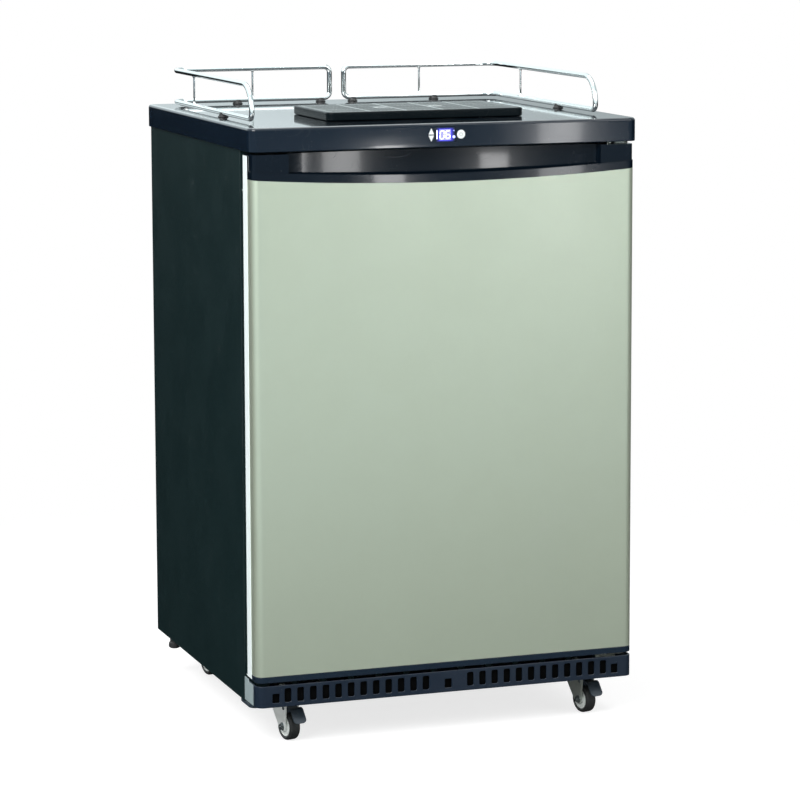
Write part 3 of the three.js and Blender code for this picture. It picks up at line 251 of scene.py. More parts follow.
def makeDustGroup():
    group, given, made = startGroup("settledDust", {"Scale": 40.0, "Amount": 0.3}, ("Mask",))
    lying = mapRange(group, upwardOf(group), 0.2, 1.0)
    film = noise(group, given["Vector"], given["Scale"], 8.0, 0.7)
    patchy = mapRange(group, film[0], 0.4, 0.75)
    mask = math2(group, "MULTIPLY", math2(group, "MULTIPLY", lying, patchy), given["Amount"])
    group.links.new(mask, made["Mask"])
    return group


def makeScratchGroup():
    group, given, made = startGroup("hairScratches", {"Scale": 6.0, "Width": 0.004}, ("Mask",))
    masks = []
    for turn, stretch in ((0.4, (1.0, 9.0, 1.0)), (-0.9, (9.0, 1.0, 1.4)), (1.7, (1.0, 1.2, 9.0))):
        laid = addNode(group, "ShaderNodeMapping",
                       {"Vector": given["Vector"], "Rotation": (turn, turn * 0.6, turn), "Scale": stretch})
        field = noise(group, laid[0], given["Scale"], 1.5, 0.4)
        off = math2(group, "ABSOLUTE", math2(group, "SUBTRACT", field[0], 0.5))
        narrow = addNode(group, "ShaderNodeMapRange",
                         {"Value": off, "From Min": given["Width"], "From Max": 0.0})
        masks.append(narrow[0])
    both = math2(group, "MAXIMUM", masks[0], masks[1])
    breaks = noise(group, given["Vector"], 23.0, 3.0)
    patchy = mapRange(group, breaks[0], 0.5, 0.66)
    mask = math2(group, "MULTIPLY", math2(group, "MAXIMUM", both, masks[2]), patchy, True)
    group.links.new(mask, made["Mask"])
    return group


def makeSpangleGroup():
    group, given, made = startGroup("zincSpangle", {"Scale": 90.0}, ("Tone",))
    warp = noise(group, given["Vector"], 60.0, 2.0)
    bent = addNode(group, "ShaderNodeVectorMath", {0: warp["Color"], "Scale": 0.012}, operation="SCALE")
    place = addNode(group, "ShaderNodeVectorMath", {0: given["Vector"], 1: bent[0]}, operation="ADD")
    cells = addNode(group, "ShaderNodeTexVoronoi", {"Vector": place[0], "Scale": given["Scale"]})
    group.links.new(axesOf(group, cells["Color"])["X"], made["Tone"])
    return group


def makeBrushGroup():
    group, given, made = startGroup("brushedLines", {"Scale": 900.0}, ("Lines",))
    group.links.new(noise(group, given["Vector"], given["Scale"], 4.0, 0.7)[0], made["Lines"])
    return group


def makeSpeckGroup():
    group, given, made = startGroup("dustSpecks", {"Scale": 160.0, "Size": 0.06}, ("Mask",))
    cells = addNode(group, "ShaderNodeTexVoronoi", {"Vector": given["Vector"], "Scale": given["Scale"]})
    chance = axesOf(group, cells["Color"])
    size = math2(group, "MULTIPLY", math2(group, "MULTIPLY", chance["X"], chance["Y"]), given["Size"])
    group.links.new(math2(group, "LESS_THAN", cells["Distance"], size), made["Mask"])
    return group


groups = {"grain": makeGrainGroup(), "wear": makeWearGroup(), "dust": makeDustGroup(),
          "scratch": makeScratchGroup(), "spangle": makeSpangleGroup(), "brush": makeBrushGroup(),
          "speck": makeSpeckGroup()}


def useGroup(tree, key, inputs):
    return addNode(tree, "ShaderNodeGroup", inputs, node_tree=groups[key])


def finishOf(name, look):
    material, tree, shader = newMaterial(name)
    place = objectPlace(tree)
    grain = useGroup(tree, "grain", {"Vector": place, "Scale": look["grain"]})
    colour = mixColour(tree, grain["Coarse"], rgba(look["colour"]), rgba(look["shade"]))
    half = look["spread"] / 2
    rough = mapRange(tree, grain["Coarse"], 0.0, 1.0, look["rough"] - half, look["rough"] + half)
    height = grain["Fine"]
    if "brush" in look:
        laid = addNode(tree, "ShaderNodeMapping", {"Vector": place, "Scale": look["brush"]})[0]
        height = useGroup(tree, "brush", {"Vector": laid, "Scale": 60.0})["Lines"]
        colour = mixColour(tree, mapRange(tree, height, 0.35, 0.75, 0.0, 0.55), colour, rgba(look["line"]))
        rough = math2(tree, "ADD", rough, mapRange(tree, height, 0.3, 0.7, -0.06, 0.08))
    if "spangle" in look:
        tone = useGroup(tree, "spangle", {"Vector": place, "Scale": look["spangle"]})["Tone"]
        patch = mapRange(tree, tone, 0.0, 1.0, 0.0, look.get("patch", 0.6))
        colour = mixColour(tree, patch, colour, rgba(look["line"]))
        rough = math2(tree, "ADD", rough, mapRange(tree, tone, 0.0, 1.0, -0.05, 0.05))
    if "scratches" in look:
        scratch = useGroup(tree, "scratch", {"Vector": place, "Scale": 7.0, "Width": 0.0022})["Mask"]
        mark = math2(tree, "MULTIPLY", scratch, look["scratches"])
        colour = mixColour(tree, mark, colour, rgba(look.get("worn", look["shade"])))
        rough = math2(tree, "ADD", rough, math2(tree, "MULTIPLY", mark, 0.25))
    if "wear" in look:
        worn = useGroup(tree, "wear", {"Vector": place, "Radius": look["wear"], "Scale": 70.0})["Mask"]
        shown = math2(tree, "MULTIPLY", worn, look.get("wearing", 0.5))
        colour = mixColour(tree, shown, colour, rgba(look["worn"]))
        rough = math2(tree, "ADD", rough, math2(tree, "MULTIPLY", worn, 0.12))
    if "dust" in look:
        film = useGroup(tree, "dust", {"Vector": place, "Scale": 24.0, "Amount": look["dust"]})["Mask"]
        speck = useGroup(tree, "speck", {"Vector": place, "Scale": 150.0, "Size": 0.16})["Mask"]
        both = math2(tree, "MAXIMUM", film, math2(tree, "MULTIPLY", speck, look["dust"]))
        colour = mixColour(tree, both, colour, rgba(dustColour))
        rough = math2(tree, "ADD", rough, math2(tree, "MULTIPLY", both, 0.4), True)
    tree.links.new(colour, shader["Base Color"])
    tree.links.new(rough, shader["Roughness"])
    bump = addNode(tree, "ShaderNodeBump", {"Height": height, "Distance": look["depth"], "Strength": 1.0})
    tree.links.new(bump[0], shader["Normal"])
    shader["Metallic"].default_value = look.get("metal", 0.0)
    shader["Coat Weight"].default_value = look.get("coat", 0.0)
    if "topCoat" in look:  # more lacquer on the faces that lie flat
        lacquer = mapRange(tree, upwardOf(tree), 0.5, 0.95, look["coat"], look["topCoat"])
        tree.links.new(lacquer, shader["Coat Weight"])
    shader["Coat Roughness"].default_value = look.get("coatRough", 0.03)
    shader["IOR"].default_value = look.get("ior", 1.5)
    return material


dustColour = (0.42, 0.41, 0.38)


finishLooks = {
    "cabinetPaint": {"colour": (0.0060, 0.0165, 0.0175), "shade": (0.0068, 0.0180, 0.0190),
        "rough": 0.32, "spread": 0.04, "ior": 1.36, "grain": 900.0, "depth": 0.000035, "wear": 0.0012,
        "wearing": 0.4, "worn": (0.10, 0.11, 0.11), "scratches": 0.25, "dust": 0.10},
    "worktopGloss": {"colour": (0.0042, 0.0095, 0.0180), "shade": (0.0047, 0.0104, 0.0195),
        "rough": 0.09, "spread": 0.03, "grain": 500.0, "depth": 0.000004, "coat": 0.25,
        "coatRough": 0.04, "ior": 1.3, "topCoat": 1.0, "scratches": 0.30, "worn": (0.05, 0.055, 0.06),
        "dust": 0.10},
    "trayBlack": {"colour": (0.0016, 0.0040, 0.0056), "shade": (0.0022, 0.0052, 0.0070), "rough": 0.24,
        "spread": 0.06, "grain": 500.0, "depth": 0.000010, "ior": 1.18, "scratches": 0.2,
        "worn": (0.04, 0.045, 0.05), "dust": 0.05},
    "capGloss": {"colour": (0.0022, 0.0054, 0.0104), "shade": (0.0025, 0.0060, 0.0114), "rough": 0.09,
        "spread": 0.03, "grain": 500.0, "depth": 0.000004, "coat": 0.2, "coatRough": 0.03, "ior": 1.24,
        "scratches": 0.22, "worn": (0.05, 0.055, 0.06), "dust": 0.06},
    "doorSilver": {"colour": (0.560, 0.626, 0.494), "shade": (0.550, 0.614, 0.484), "rough": 0.36,
        "spread": 0.03, "grain": 1400.0, "depth": 0.000008, "metal": 0.65, "coat": 0.15,
        "coatRough": 0.12, "scratches": 0.10, "worn": (0.62, 0.64, 0.58)},
    "grilleBlack": {"colour": (0.0060, 0.0135, 0.0270), "shade": (0.0080, 0.0160, 0.0310), "rough": 0.36,
        "spread": 0.08, "grain": 700.0, "depth": 0.000030, "wear": 0.0008, "wearing": 0.3,
        "worn": (0.06, 0.065, 0.07), "dust": 0.14},
    "chrome": {"colour": (0.80, 0.82, 0.81), "shade": (0.72, 0.75, 0.75), "rough": 0.075, "spread": 0.05,
        "grain": 900.0, "depth": 0.000003, "metal": 1.0, "scratches": 0.25, "worn": (0.5, 0.52, 0.52)},
    "linerWhite": {"colour": (0.64, 0.66, 0.655), "shade": (0.60, 0.62, 0.615), "rough": 0.38,
        "spread": 0.08, "grain": 420.0, "depth": 0.000025, "scratches": 0.12, "worn": (0.6, 0.62, 0.62),
        "dust": 0.08},
    "galvanised": {"colour": (0.53, 0.55, 0.56), "shade": (0.50, 0.52, 0.53), "rough": 0.44,
        "spread": 0.06, "grain": 500.0, "depth": 0.000015, "metal": 0.6, "spangle": 260.0, "patch": 0.35,
        "line": (0.66, 0.68, 0.69), "wear": 0.001, "worn": (0.7, 0.7, 0.7), "dust": 0.2},
    "foamYellow": {"colour": (0.62, 0.47, 0.20), "shade": (0.52, 0.38, 0.15), "rough": 0.9,
        "spread": 0.1, "grain": 240.0, "depth": 0.0004},
    "rubberBlack": {"colour": (0.0130, 0.0135, 0.0140), "shade": (0.0220, 0.0225, 0.0230), "rough": 0.62,
        "spread": 0.16, "grain": 520.0, "depth": 0.00005, "dust": 0.30, "wear": 0.0008,
        "worn": (0.07, 0.07, 0.07), "wearing": 0.4},
    "gasketGrey": {"colour": (0.235, 0.245, 0.245), "shade": (0.19, 0.20, 0.20), "rough": 0.58,
        "spread": 0.12, "grain": 700.0, "depth": 0.00003, "dust": 0.1},
    "acrylicBlack": {"colour": (0.0030, 0.0040, 0.0120), "shade": (0.0040, 0.0055, 0.0180),
        "rough": 0.05, "spread": 0.03, "grain": 400.0, "depth": 0.000002, "coat": 1.0,
        "coatRough": 0.02},
    "buttonWhite": {"colour": (0.80, 0.84, 0.84), "shade": (0.72, 0.77, 0.78), "rough": 0.32,
        "spread": 0.08, "grain": 800.0, "depth": 0.00001, "wear": 0.0003, "worn": (0.5, 0.52, 0.53)},
    "boardGreen": {"colour": (0.010, 0.120, 0.040), "shade": (0.014, 0.160, 0.055), "rough": 0.35,
        "spread": 0.1, "grain": 300.0, "depth": 0.00003, "spangle": 260.0, "line": (0.02, 0.21, 0.07)},
    "copper": {"colour": (0.60, 0.27, 0.14), "shade": (0.42, 0.17, 0.09), "rough": 0.30, "spread": 0.2,
        "grain": 300.0, "depth": 0.00002, "metal": 1.0, "brush": (1, 8, 8), "line": (0.75, 0.40, 0.24),
        "dust": 0.15},
    "pressedAlloy": {"colour": (0.62, 0.64, 0.64), "shade": (0.52, 0.54, 0.54), "rough": 0.38,
        "spread": 0.12, "grain": 500.0, "depth": 0.00002, "metal": 0.9, "brush": (1, 6, 30),
        "line": (0.72, 0.74, 0.74), "wear": 0.001, "worn": (0.8, 0.8, 0.8)},
    "brushedSteel": {"colour": (0.56, 0.58, 0.57), "shade": (0.48, 0.50, 0.49), "rough": 0.30,
        "spread": 0.08, "grain": 500.0, "depth": 0.000012, "metal": 1.0, "brush": (2, 40, 40),
        "line": (0.70, 0.71, 0.70), "scratches": 0.3, "worn": (0.75, 0.76, 0.75), "dust": 0.05},
    "nylonWhite": {"colour": (0.72, 0.71, 0.65), "shade": (0.66, 0.65, 0.59), "rough": 0.5,
        "spread": 0.1, "grain": 500.0, "depth": 0.00003, "dust": 0.12},
    "enamelBlack": {"colour": (0.010, 0.011, 0.011), "shade": (0.016, 0.017, 0.017), "rough": 0.26,
        "spread": 0.12, "grain": 160.0, "depth": 0.00012, "coat": 0.3, "wear": 0.001,
        "worn": (0.12, 0.11, 0.10), "dust": 0.3},
    "zinc": {"colour": (0.60, 0.64, 0.59), "shade": (0.52, 0.56, 0.51), "rough": 0.30, "spread": 0.14,
        "grain": 420.0, "depth": 0.00002, "metal": 0.5, "wear": 0.0006, "worn": (0.75, 0.76, 0.74),
        "scratches": 0.4, "dust": 0.12},
    "pedalBlack": {"colour": (0.022, 0.034, 0.048), "shade": (0.026, 0.040, 0.056), "rough": 0.40,
        "spread": 0.12, "grain": 600.0, "depth": 0.00004, "wear": 0.0008, "worn": (0.12, 0.125, 0.13),
        "wearing": 0.6, "dust": 0.15},
    "signGrey": {"colour": (0.28, 0.33, 0.30), "shade": (0.36, 0.40, 0.37), "rough": 0.4, "spread": 0.1,
        "grain": 900.0, "depth": 0.000004},
    "gridSteel": {"colour": (0.10, 0.115, 0.115), "shade": (0.07, 0.08, 0.08), "rough": 0.34,
        "spread": 0.12, "grain": 600.0, "depth": 0.00002, "metal": 0.6, "brush": (40, 2, 40),
        "line": (0.20, 0.22, 0.22), "wear": 0.0004, "worn": (0.5, 0.52, 0.52), "dust": 0.1},
    # very dark matte colour: painted shade for the space behind the grille slots
    "paintedShadowBlack": {"colour": (0.0025, 0.0028, 0.003), "shade": (0.004, 0.0042, 0.0045), "rough": 0.85,
        "ior": 1.1, "spread": 0.1, "grain": 1600.0, "depth": 0.0003},
    # near-white zinc: painted light from the left on the left forks, also used on the hubs
    "casterZincPaintedLight": {"colour": (0.95, 0.98, 0.96), "shade": (0.90, 0.94, 0.91), "rough": 0.30,
        "spread": 0.10, "grain": 420.0, "depth": 0.00002, "metal": 0.05, "wear": 0.0005,
        "worn": (0.62, 0.65, 0.63), "scratches": 0.2},
    # darker bolt steel: real bolt parts, partly painted shade round the caster nuts
    "boltSteelPaintedShade": {"colour": (0.34, 0.37, 0.37), "shade": (0.26, 0.29, 0.29), "rough": 0.26,
        "spread": 0.12, "grain": 500.0, "depth": 0.00002, "metal": 0.85, "wear": 0.0005,
        "worn": (0.8, 0.82, 0.8)},
    # the cap's black gloss with a lighter, bluer base colour: painted reflected light on the bottom trim
    "trimGlossPaintedLight": {"colour": (0.0100, 0.0180, 0.0300), "shade": (0.0110, 0.0195, 0.0320), "rough": 0.12,
        "spread": 0.04, "grain": 500.0, "depth": 0.000005, "coat": 0.25, "coatRough": 0.04, "ior": 1.26,
        "scratches": 0.3, "worn": (0.07, 0.075, 0.08), "dust": 0.10},
    "tyreLine": {"colour": (0.16, 0.17, 0.17), "shade": (0.10, 0.11, 0.11), "rough": 0.5, "spread": 0.1,
        "grain": 700.0, "depth": 0.00002},
    "edgeWhite": {"colour": (0.85, 0.93, 0.93), "shade": (0.81, 0.89, 0.89), "rough": 0.4,
        "spread": 0.08, "grain": 500.0, "depth": 0.00002, "wear": 0.0004, "worn": (0.6, 0.62, 0.61),
        "dust": 0.05},
    "edgeGrey": {"colour": (0.30, 0.37, 0.38), "shade": (0.26, 0.33, 0.34), "rough": 0.45, "spread": 0.1,
        "grain": 600.0, "depth": 0.00002, "wear": 0.0006, "worn": (0.5, 0.52, 0.51), "dust": 0.1},
}
finishes = {name: finishOf(name, look) for name, look in finishLooks.items()}
print("materials made")


def objectOf(name, bm):
    data = bpy.data.meshes.new(name)
    bm.to_mesh(data)
    bm.free()
    item = bpy.data.objects.new(name, data)
    scene.collection.objects.link(item)
    return item


# Floor: pale to the camera, darker in the light that it throws back, and glowing only in reflections: a
# painted reflection band ahead of the object and a faint painted glow near it
def makeFloor(look):
    bm = bmesh.new()
    bmesh.ops.create_grid(bm, x_segments=2, y_segments=2, size=look["half"])
    floor = objectOf("floor", bm)
    material, tree, shader = newMaterial("floorPaper")
    path = addNode(tree, "ShaderNodeLightPath")
    place = objectPlace(tree)
    grain = useGroup(tree, "grain", {"Vector": place, "Scale": look["grain"]})
    away = addNode(tree, "ShaderNodeVectorMath", {0: place}, operation="LENGTH")["Value"]
    clear = mapRange(tree, away, look["near"], look["far"])
    duller = [tone * 0.97 for tone in look["bounce"]]
    bounce = mixColour(tree, grain["Coarse"], rgba(look["bounce"]), rgba(duller))
    seen = mixColour(tree, clear, rgba(look["shadowed"]), black)
    dull = mixColour(tree, path["Is Glossy Ray"], bounce, black)
    tree.links.new(mixColour(tree, path["Is Camera Ray"], dull, seen), shader["Base Color"])
    lift = mapRange(tree, away, look["near"], look["far"], look["lift"], 1.0)
    # painted reflection: for reflection rays the floor glows in a tinted band ahead of the object and
    # faintly near it
    ahead = addNode(tree, "ShaderNodeVectorMath", {0: place, 1: look["ahead"]},
                    operation="DOT_PRODUCT")["Value"]
    paintedReflectionBand = mapRange(tree, ahead, look["paintedReflectionNear"], look["paintedReflectionFar"], 0.0, look["paintedReflectionBand"])
    beside = mapRange(tree, ahead, look["besideLow"], look["besideHigh"], look["dark"], look["paintedNearGlow"])
    dim = mapRange(tree, away, look["near"], look["far"], look["paintedNearGlow"], look["dark"])
    dim = math2(tree, "MINIMUM", dim, beside)
    glow = math2(tree, "MULTIPLY", path["Is Glossy Ray"], math2(tree, "ADD", paintedReflectionBand, dim))
    strength = mixValue(tree, path["Is Camera Ray"], glow, lift)
    tint = mixColour(tree, path["Is Glossy Ray"], white, rgba(look["tint"]))
    shade = addNode(tree, "ShaderNodeVectorMath", {0: tint, "Scale": strength}, operation="SCALE")[0]
    tree.links.new(shade, shader["Emission Color"])
    shader["Emission Strength"].default_value = 1.0
    shader["Roughness"].default_value = look["rough"]
    shader["Specular IOR Level"].default_value = 0.0
    floor.data.materials.append(material)


makeFloor(floorLook)


# Turning meshes into pieces
mergeGap = 0.000002  # vertices closer than this become one
close = 0.00001  # how near counts as on a plane


def placed(name, bm, finish, body, standsFor=(), sharp=32.0, bevel=None, sheet=None):
    bmesh.ops.remove_doubles(bm, verts=bm.verts, dist=mergeGap)
    if not sheet:
        bmesh.ops.recalc_face_normals(bm, faces=bm.faces)
    piece = objectOf(name, bm)
    piece.data.materials.append(finishes[finish] if isinstance(finish, str) else finish)
    piece.data.shade_smooth()
    piece.data.set_sharp_from_angle(angle=math.radians(sharp))
    if sheet:
        wall = piece.modifiers.new("wall", "SOLIDIFY")
        wall.thickness, wall.offset, wall.use_even_offset = sheet, -1.0, True
    if bevel:
        rounding = piece.modifiers.new("rounding", "BEVEL")
        rounding.width, rounding.segments = bevel, 2
        rounding.limit_method, rounding.angle_limit = "ANGLE", math.radians(sharp)
        rounding.use_clamp_overlap = True
    weighting = piece.modifiers.new("weighting", "WEIGHTED_NORMAL")
    weighting.keep_sharp = True
    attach(piece, body)
    if standsFor:
        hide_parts(*standsFor)


def turnedPiece(name, profile, steps, matrix, finish, body, standsFor=(), sharp=32.0):
    bm = bmesh.new()
    turnedIn(bm, profile, steps, matrix)
    placed(name, bm, finish, body, standsFor, sharp)


def dressed(node, name, finish, bevel):
    bm = bmesh.new()
    bm.from_mesh(nodes[node].data)
    bmesh.ops.remove_doubles(bm, verts=bm.verts, dist=0.00002)
    bmesh.ops.dissolve_limit(bm, angle_limit=math.radians(0.4), verts=bm.verts, edges=bm.edges)
    placed(name, bm, finish, nodes[node]["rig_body"], (node,), 32.0, bevel)


# Mesh helpers
def blockIn(bm, low, high):
    verts = bmesh.ops.create_cube(bm, size=1.0)["verts"]
    bmesh.ops.scale(bm, vec=[h - l for l, h in zip(low, high)], verts=verts)
    bmesh.ops.translate(bm, vec=[(h + l) / 2 for l, h in zip(low, high)], verts=verts)
    return verts


def edgesOf(verts, test):
    found = {edge for vert in verts for edge in vert.link_edges}
    return [edge for edge in found if test(edge.verts[0].co, edge.verts[1].co)]


def edgesWhere(bm, test):
    return [edge for edge in bm.edges if test(edge.verts[0].co, edge.verts[1].co)]


def anyEdge(a, b):
    return True


def along(axis, least):  # edges whose ends lie further apart than this along one axis
    return lambda a, b: abs(a[axis] - b[axis]) > least


def vertsOf(geometry):
    return [item for item in geometry if isinstance(item, bmesh.types.BMVert)]


def mirrored(hand, outer, inner):
    return sorted((hand * outer, hand * inner))


def rounded(bm, edges, radius, segments):
    bmesh.ops.bevel(bm, geom=edges, offset=radius, offset_type="OFFSET", affect="EDGES", segments=segments,
                    profile=0.5, material=-1, clamp_overlap=True)


def upright(a, b):
    return abs(a.z - b.z) > 0.0005 and (a.xy - b.xy).length < close


def roundedBlock(low, high, frontRadius, backRadius, segments=10):
    bm = bmesh.new()
    verts = blockIn(bm, low, high)
    middle = (low[1] + high[1]) / 2
    if frontRadius:
        rounded(bm, edgesOf(verts, lambda a, b: upright(a, b) and a.y < middle), frontRadius, segments)
    if backRadius:
        rounded(bm, edgesOf(bm.verts, lambda a, b: upright(a, b) and a.y > high[1] - close
                            and min(abs(a.x - low[0]), abs(a.x - high[0])) < close), backRadius, segments)
    return bm


def rimAt(bm, z):
    return [edge for edge in bm.edges if all(abs(vert.co.z - z) < close for vert in edge.verts)
            and any(abs(face.normal.z) < 0.5 for face in edge.link_faces)]


def plainBlock(low, high):
    bm = bmesh.new()
    blockIn(bm, low, high)
    return bm


def turnedIn(bm, profile, steps, matrix=None):
    before = set(bm.verts)
    line = [bm.verts.new((r, 0, z)) for r, z in profile]
    edges = [bm.edges.new(pair) for pair in zip(line, line[1:])]
    bmesh.ops.spin(bm, geom=line + edges, cent=(0, 0, 0), axis=(0, 0, 1), dvec=(0, 0, 0), angle=2 * math.pi,
                   steps=steps, use_merge=True, use_duplicate=False)
    fresh = [vert for vert in bm.verts if vert not in before]
    bmesh.ops.remove_doubles(bm, verts=fresh, dist=mergeGap)
    fresh = [vert for vert in bm.verts if vert not in before]
    if matrix is not None:
        bmesh.ops.transform(bm, matrix=matrix, verts=fresh)


def facing(place, direction):
    return Matrix.Translation(place) @ Vector(direction).to_track_quat("Z", "Y").to_matrix().to_4x4()


def rodIn(bm, start, end, radius, sides, rim=0.0):
    line = Vector(end) - Vector(start)
    high = line.length
    profile = [(0, 0), (radius - rim, 0), (radius, rim),
               (radius, high - rim), (radius - rim, high), (0, high)]
    if not rim:
        profile = [(0, 0), (radius, 0), (radius, high), (0, high)]
    turnedIn(bm, profile, sides, facing(start, line))


def outlineIn(bm, points, lift):
    face = bm.faces.new([bm.verts.new(point) for point in points])
    made = bmesh.ops.extrude_face_region(bm, geom=[face])["geom"]
    bmesh.ops.translate(bm, vec=lift, verts=vertsOf(made))


def sinkFace(bm, axis, inset, move):  # insets the widest face that looks along an axis, and pushes it
    bm.normal_update()
    top = max((face for face in bm.faces if face.normal[axis] > 0.9), key=lambda face: face.calc_area())
    bmesh.ops.inset_region(bm, faces=[top], thickness=inset, use_even_offset=True)
    grown = bmesh.ops.extrude_face_region(bm, geom=[top])["geom"]
    bmesh.ops.delete(bm, geom=[top], context="FACES_ONLY")
    bmesh.ops.translate(bm, vec=move, verts=vertsOf(grown))


def arcPoints(x, y, radius, first, sweep, steps):
    angles = [math.radians(first + sweep * step / steps) for step in range(steps + 1)]
    return [(x + radius * math.cos(angle), y + radius * math.sin(angle)) for angle in angles]


def ringEnds(geometry):
    verts = set(vertsOf(geometry))
    edges = [item for item in geometry if isinstance(item, bmesh.types.BMEdge) and set(item.verts) <= verts]
    return list(verts), edges


def tubeIn(bm, corners, radius, sides, bendSteps=8, closed=False):
    places = [Vector(corner[:3]) for corner in corners]
    heading = (places[1] - places[0]).normalized()
    ring = bmesh.ops.create_circle(bm, cap_ends=not closed, radius=radius, segments=sides,
                                   matrix=facing(places[0], heading))["verts"]
    verts, edges = list(ring), edgesOf(ring, anyEdge)
    here = places[0]
    for index in range(1, len(corners)):
        bend = corners[index][3] if len(corners[index]) > 3 else 0.0
        last = index == len(corners) - 1
        turn = 0.0
        if not last:
            after = (places[index + 1] - places[index]).normalized()
            turn = heading.angle(after)
        reach = bend * math.tan(turn / 2) if turn > 0.001 else 0.0
        stop = places[index] - heading * reach
        grown = bmesh.ops.extrude_edge_only(bm, edges=edges)["geom"]
        verts, edges = ringEnds(grown)
        bmesh.ops.translate(bm, vec=stop - here, verts=verts)
        here = stop
        if reach:
            inward = (after - heading * heading.dot(after)).normalized()
            axis = heading.cross(after).normalized()
            grown = bmesh.ops.spin(bm, geom=verts + edges, cent=here + inward * bend, axis=axis,
                                   dvec=(0, 0, 0), angle=turn, steps=bendSteps, use_merge=False,
                                   use_duplicate=False)
            verts, edges = ringEnds(grown["geom_last"])
            here = places[index] + after * reach
            heading = after
    if not closed:
        bmesh.ops.edgeloop_fill(bm, edges=edges)


def looseObject(bm):
    bmesh.ops.remove_doubles(bm, verts=bm.verts, dist=mergeGap)
    bmesh.ops.recalc_face_normals(bm, faces=bm.faces)
    return objectOf("loose", bm)


def combined(bm, others, operation="DIFFERENCE"):
    base = looseObject(bm)
    tools = [looseObject(other) for other in others]
    for tool in tools:
        step = base.modifiers.new("cut", "BOOLEAN")
        step.operation, step.solver, step.object = operation, "EXACT", tool
    bpy.context.view_layer.update()
    made = bmesh.new()
    made.from_object(base, bpy.context.evaluated_depsgraph_get())
    for item in [base, *tools]:
        data = item.data
        bpy.data.objects.remove(item)
        bpy.data.meshes.remove(data)
    return made


def screwIn(bm, place, direction, radius):  # pan head with a dimple for its recess
    profile = [(0, -0.0005), (radius, -0.0005), (radius, radius * 0.15), (radius * 0.86, radius * 0.38),
               (radius * 0.55, radius * 0.52), (radius * 0.34, radius * 0.54),
               (radius * 0.22, radius * 0.2), (0, radius * 0.12)]
    turnedIn(bm, profile, 20, facing(place, direction))


# Worktop
worktopLook = {"side": 0.302, "front": -0.283, "back": 0.283, "bottom": 0.881, "top": 0.916,
               "frontCorner": 0.014, "backCorner": 0.008, "edge": 0.0045, "wall": 0.0035, "bead": 0.0012,
               "skin": 0.004, "hollowFront": -0.2241, "frontRoomBack": -0.2211, "boreY": 0.042,
               "bore": 0.0303}
controlLook = {"middle": 0.899, "front": -0.283, "arrowX": -0.0253, "arrowWidth": 0.0086,
               "arrowHeight": 0.009, "arrowGap": 0.0016, "windowX": -0.0032, "windowWidth": 0.031,
               "windowHeight": 0.020, "powerX": 0.021, "power": 0.0065, "gap": 0.0003}


def arrowPoints(look, hand, grow, y):
    half, height = look["arrowWidth"] / 2 + grow * 1.6, look["arrowHeight"] + grow * 3.0
    base = look["middle"] + hand * (look["arrowGap"] / 2 - grow)
    return [(look["arrowX"] - half, y, base), (look["arrowX"] + half, y, base),
            (look["arrowX"], y, base + hand * height)]


def makeWorktop(look, keys):
    side, front, back, bottom, top = pick(look, "side", "front", "back", "bottom", "top")
    bm = roundedBlock((-side, front, bottom), (side, back, top),
                      look["frontCorner"], look["backCorner"], 12)
    rounded(bm, rimAt(bm, top), look["edge"], 7)
    rounded(bm, rimAt(bm, bottom), look["bead"], 3)
    wall = look["wall"]
    over = plainBlock((-side + wall, look["hollowFront"], bottom - 0.003),
                      (side - wall, back - wall, top - look["skin"]))
    room = roundedBlock((-side + wall, front + wall, bottom + 0.0025),
                        (side - wall, look["frontRoomBack"], top - look["skin"]),
                        look["frontCorner"] - wall, 0, 8)
    y = keys["front"]
    half, tall = keys["windowWidth"] / 2 + keys["gap"], keys["windowHeight"] / 2 + keys["gap"]
    window = plainBlock((keys["windowX"] - half, y - 0.002, keys["middle"] - tall),
                        (keys["windowX"] + half, y + 0.006, keys["middle"] + tall))
    rounded(window, edgesWhere(window, along(1, 0.001)), 0.0012, 4)
    power = bmesh.new()
    rodIn(power, (keys["powerX"], y - 0.002, keys["middle"]), (keys["powerX"], y + 0.006, keys["middle"]),
          keys["power"] + keys["gap"], 40)
    bore = bmesh.new()
    rodIn(bore, (0, look["boreY"], 0.88), (0, look["boreY"], 0.93), look["bore"], 48)
    tools = [over, room, window, power, bore]
    for hand in (1, -1):
        arrow = bmesh.new()
        outlineIn(arrow, arrowPoints(keys, hand, keys["gap"], y - 0.002), (0, 0.008, 0))
        tools.append(arrow)
    placed("worktopSlab", combined(bm, tools), "worktopGloss", "cabinet", ("worktop",),
           30.0, 0.00025)


makeWorktop(worktopLook, controlLook)


# Controls
def makeGlowMaterial(name, colour, strength, shade):
    material, tree, shader = newMaterial(name)
    grain = useGroup(tree, "grain", {"Vector": objectPlace(tree), "Scale": 2500.0})
    lit = mixColour(tree, mapRange(tree, grain["Fine"], 0.35, 0.7, 0.0, 0.35), rgba(colour), rgba(shade))
    tree.links.new(lit, shader["Emission Color"])
    tree.links.new(lit, shader["Base Color"])
    tree.links.new(mapRange(tree, grain["Fine"], 0.0, 1.0, 0.22, 0.34), shader["Roughness"])
    shader["Emission Strength"].default_value = strength
    return material


def makeWindowMaterial(look, glow):
    material = finishOf("displayGlass", finishLooks["acrylicBlack"])
    tree = material.node_tree
    shader = tree.nodes["Principled BSDF"].inputs
    axes = axesOf(tree, objectPlace(tree))
    bright = []
    for axis, centre, half in (("X", glow["x"], glow["halfX"]),
                               ("Z", look["middle"] + glow["lift"], glow["halfZ"])):
        off = math2(tree, "ABSOLUTE", math2(tree, "SUBTRACT", axes[axis], centre))
        bright.append(mapRange(tree, off, half, half + glow["fade"], 1.0, 0.0))
    lit = mixColour(tree, math2(tree, "MULTIPLY", *bright), black, rgba(glow["colour"]))
    tree.links.new(lit, shader["Emission Color"])
    shader["Emission Strength"].default_value = glow["strength"]
    return material


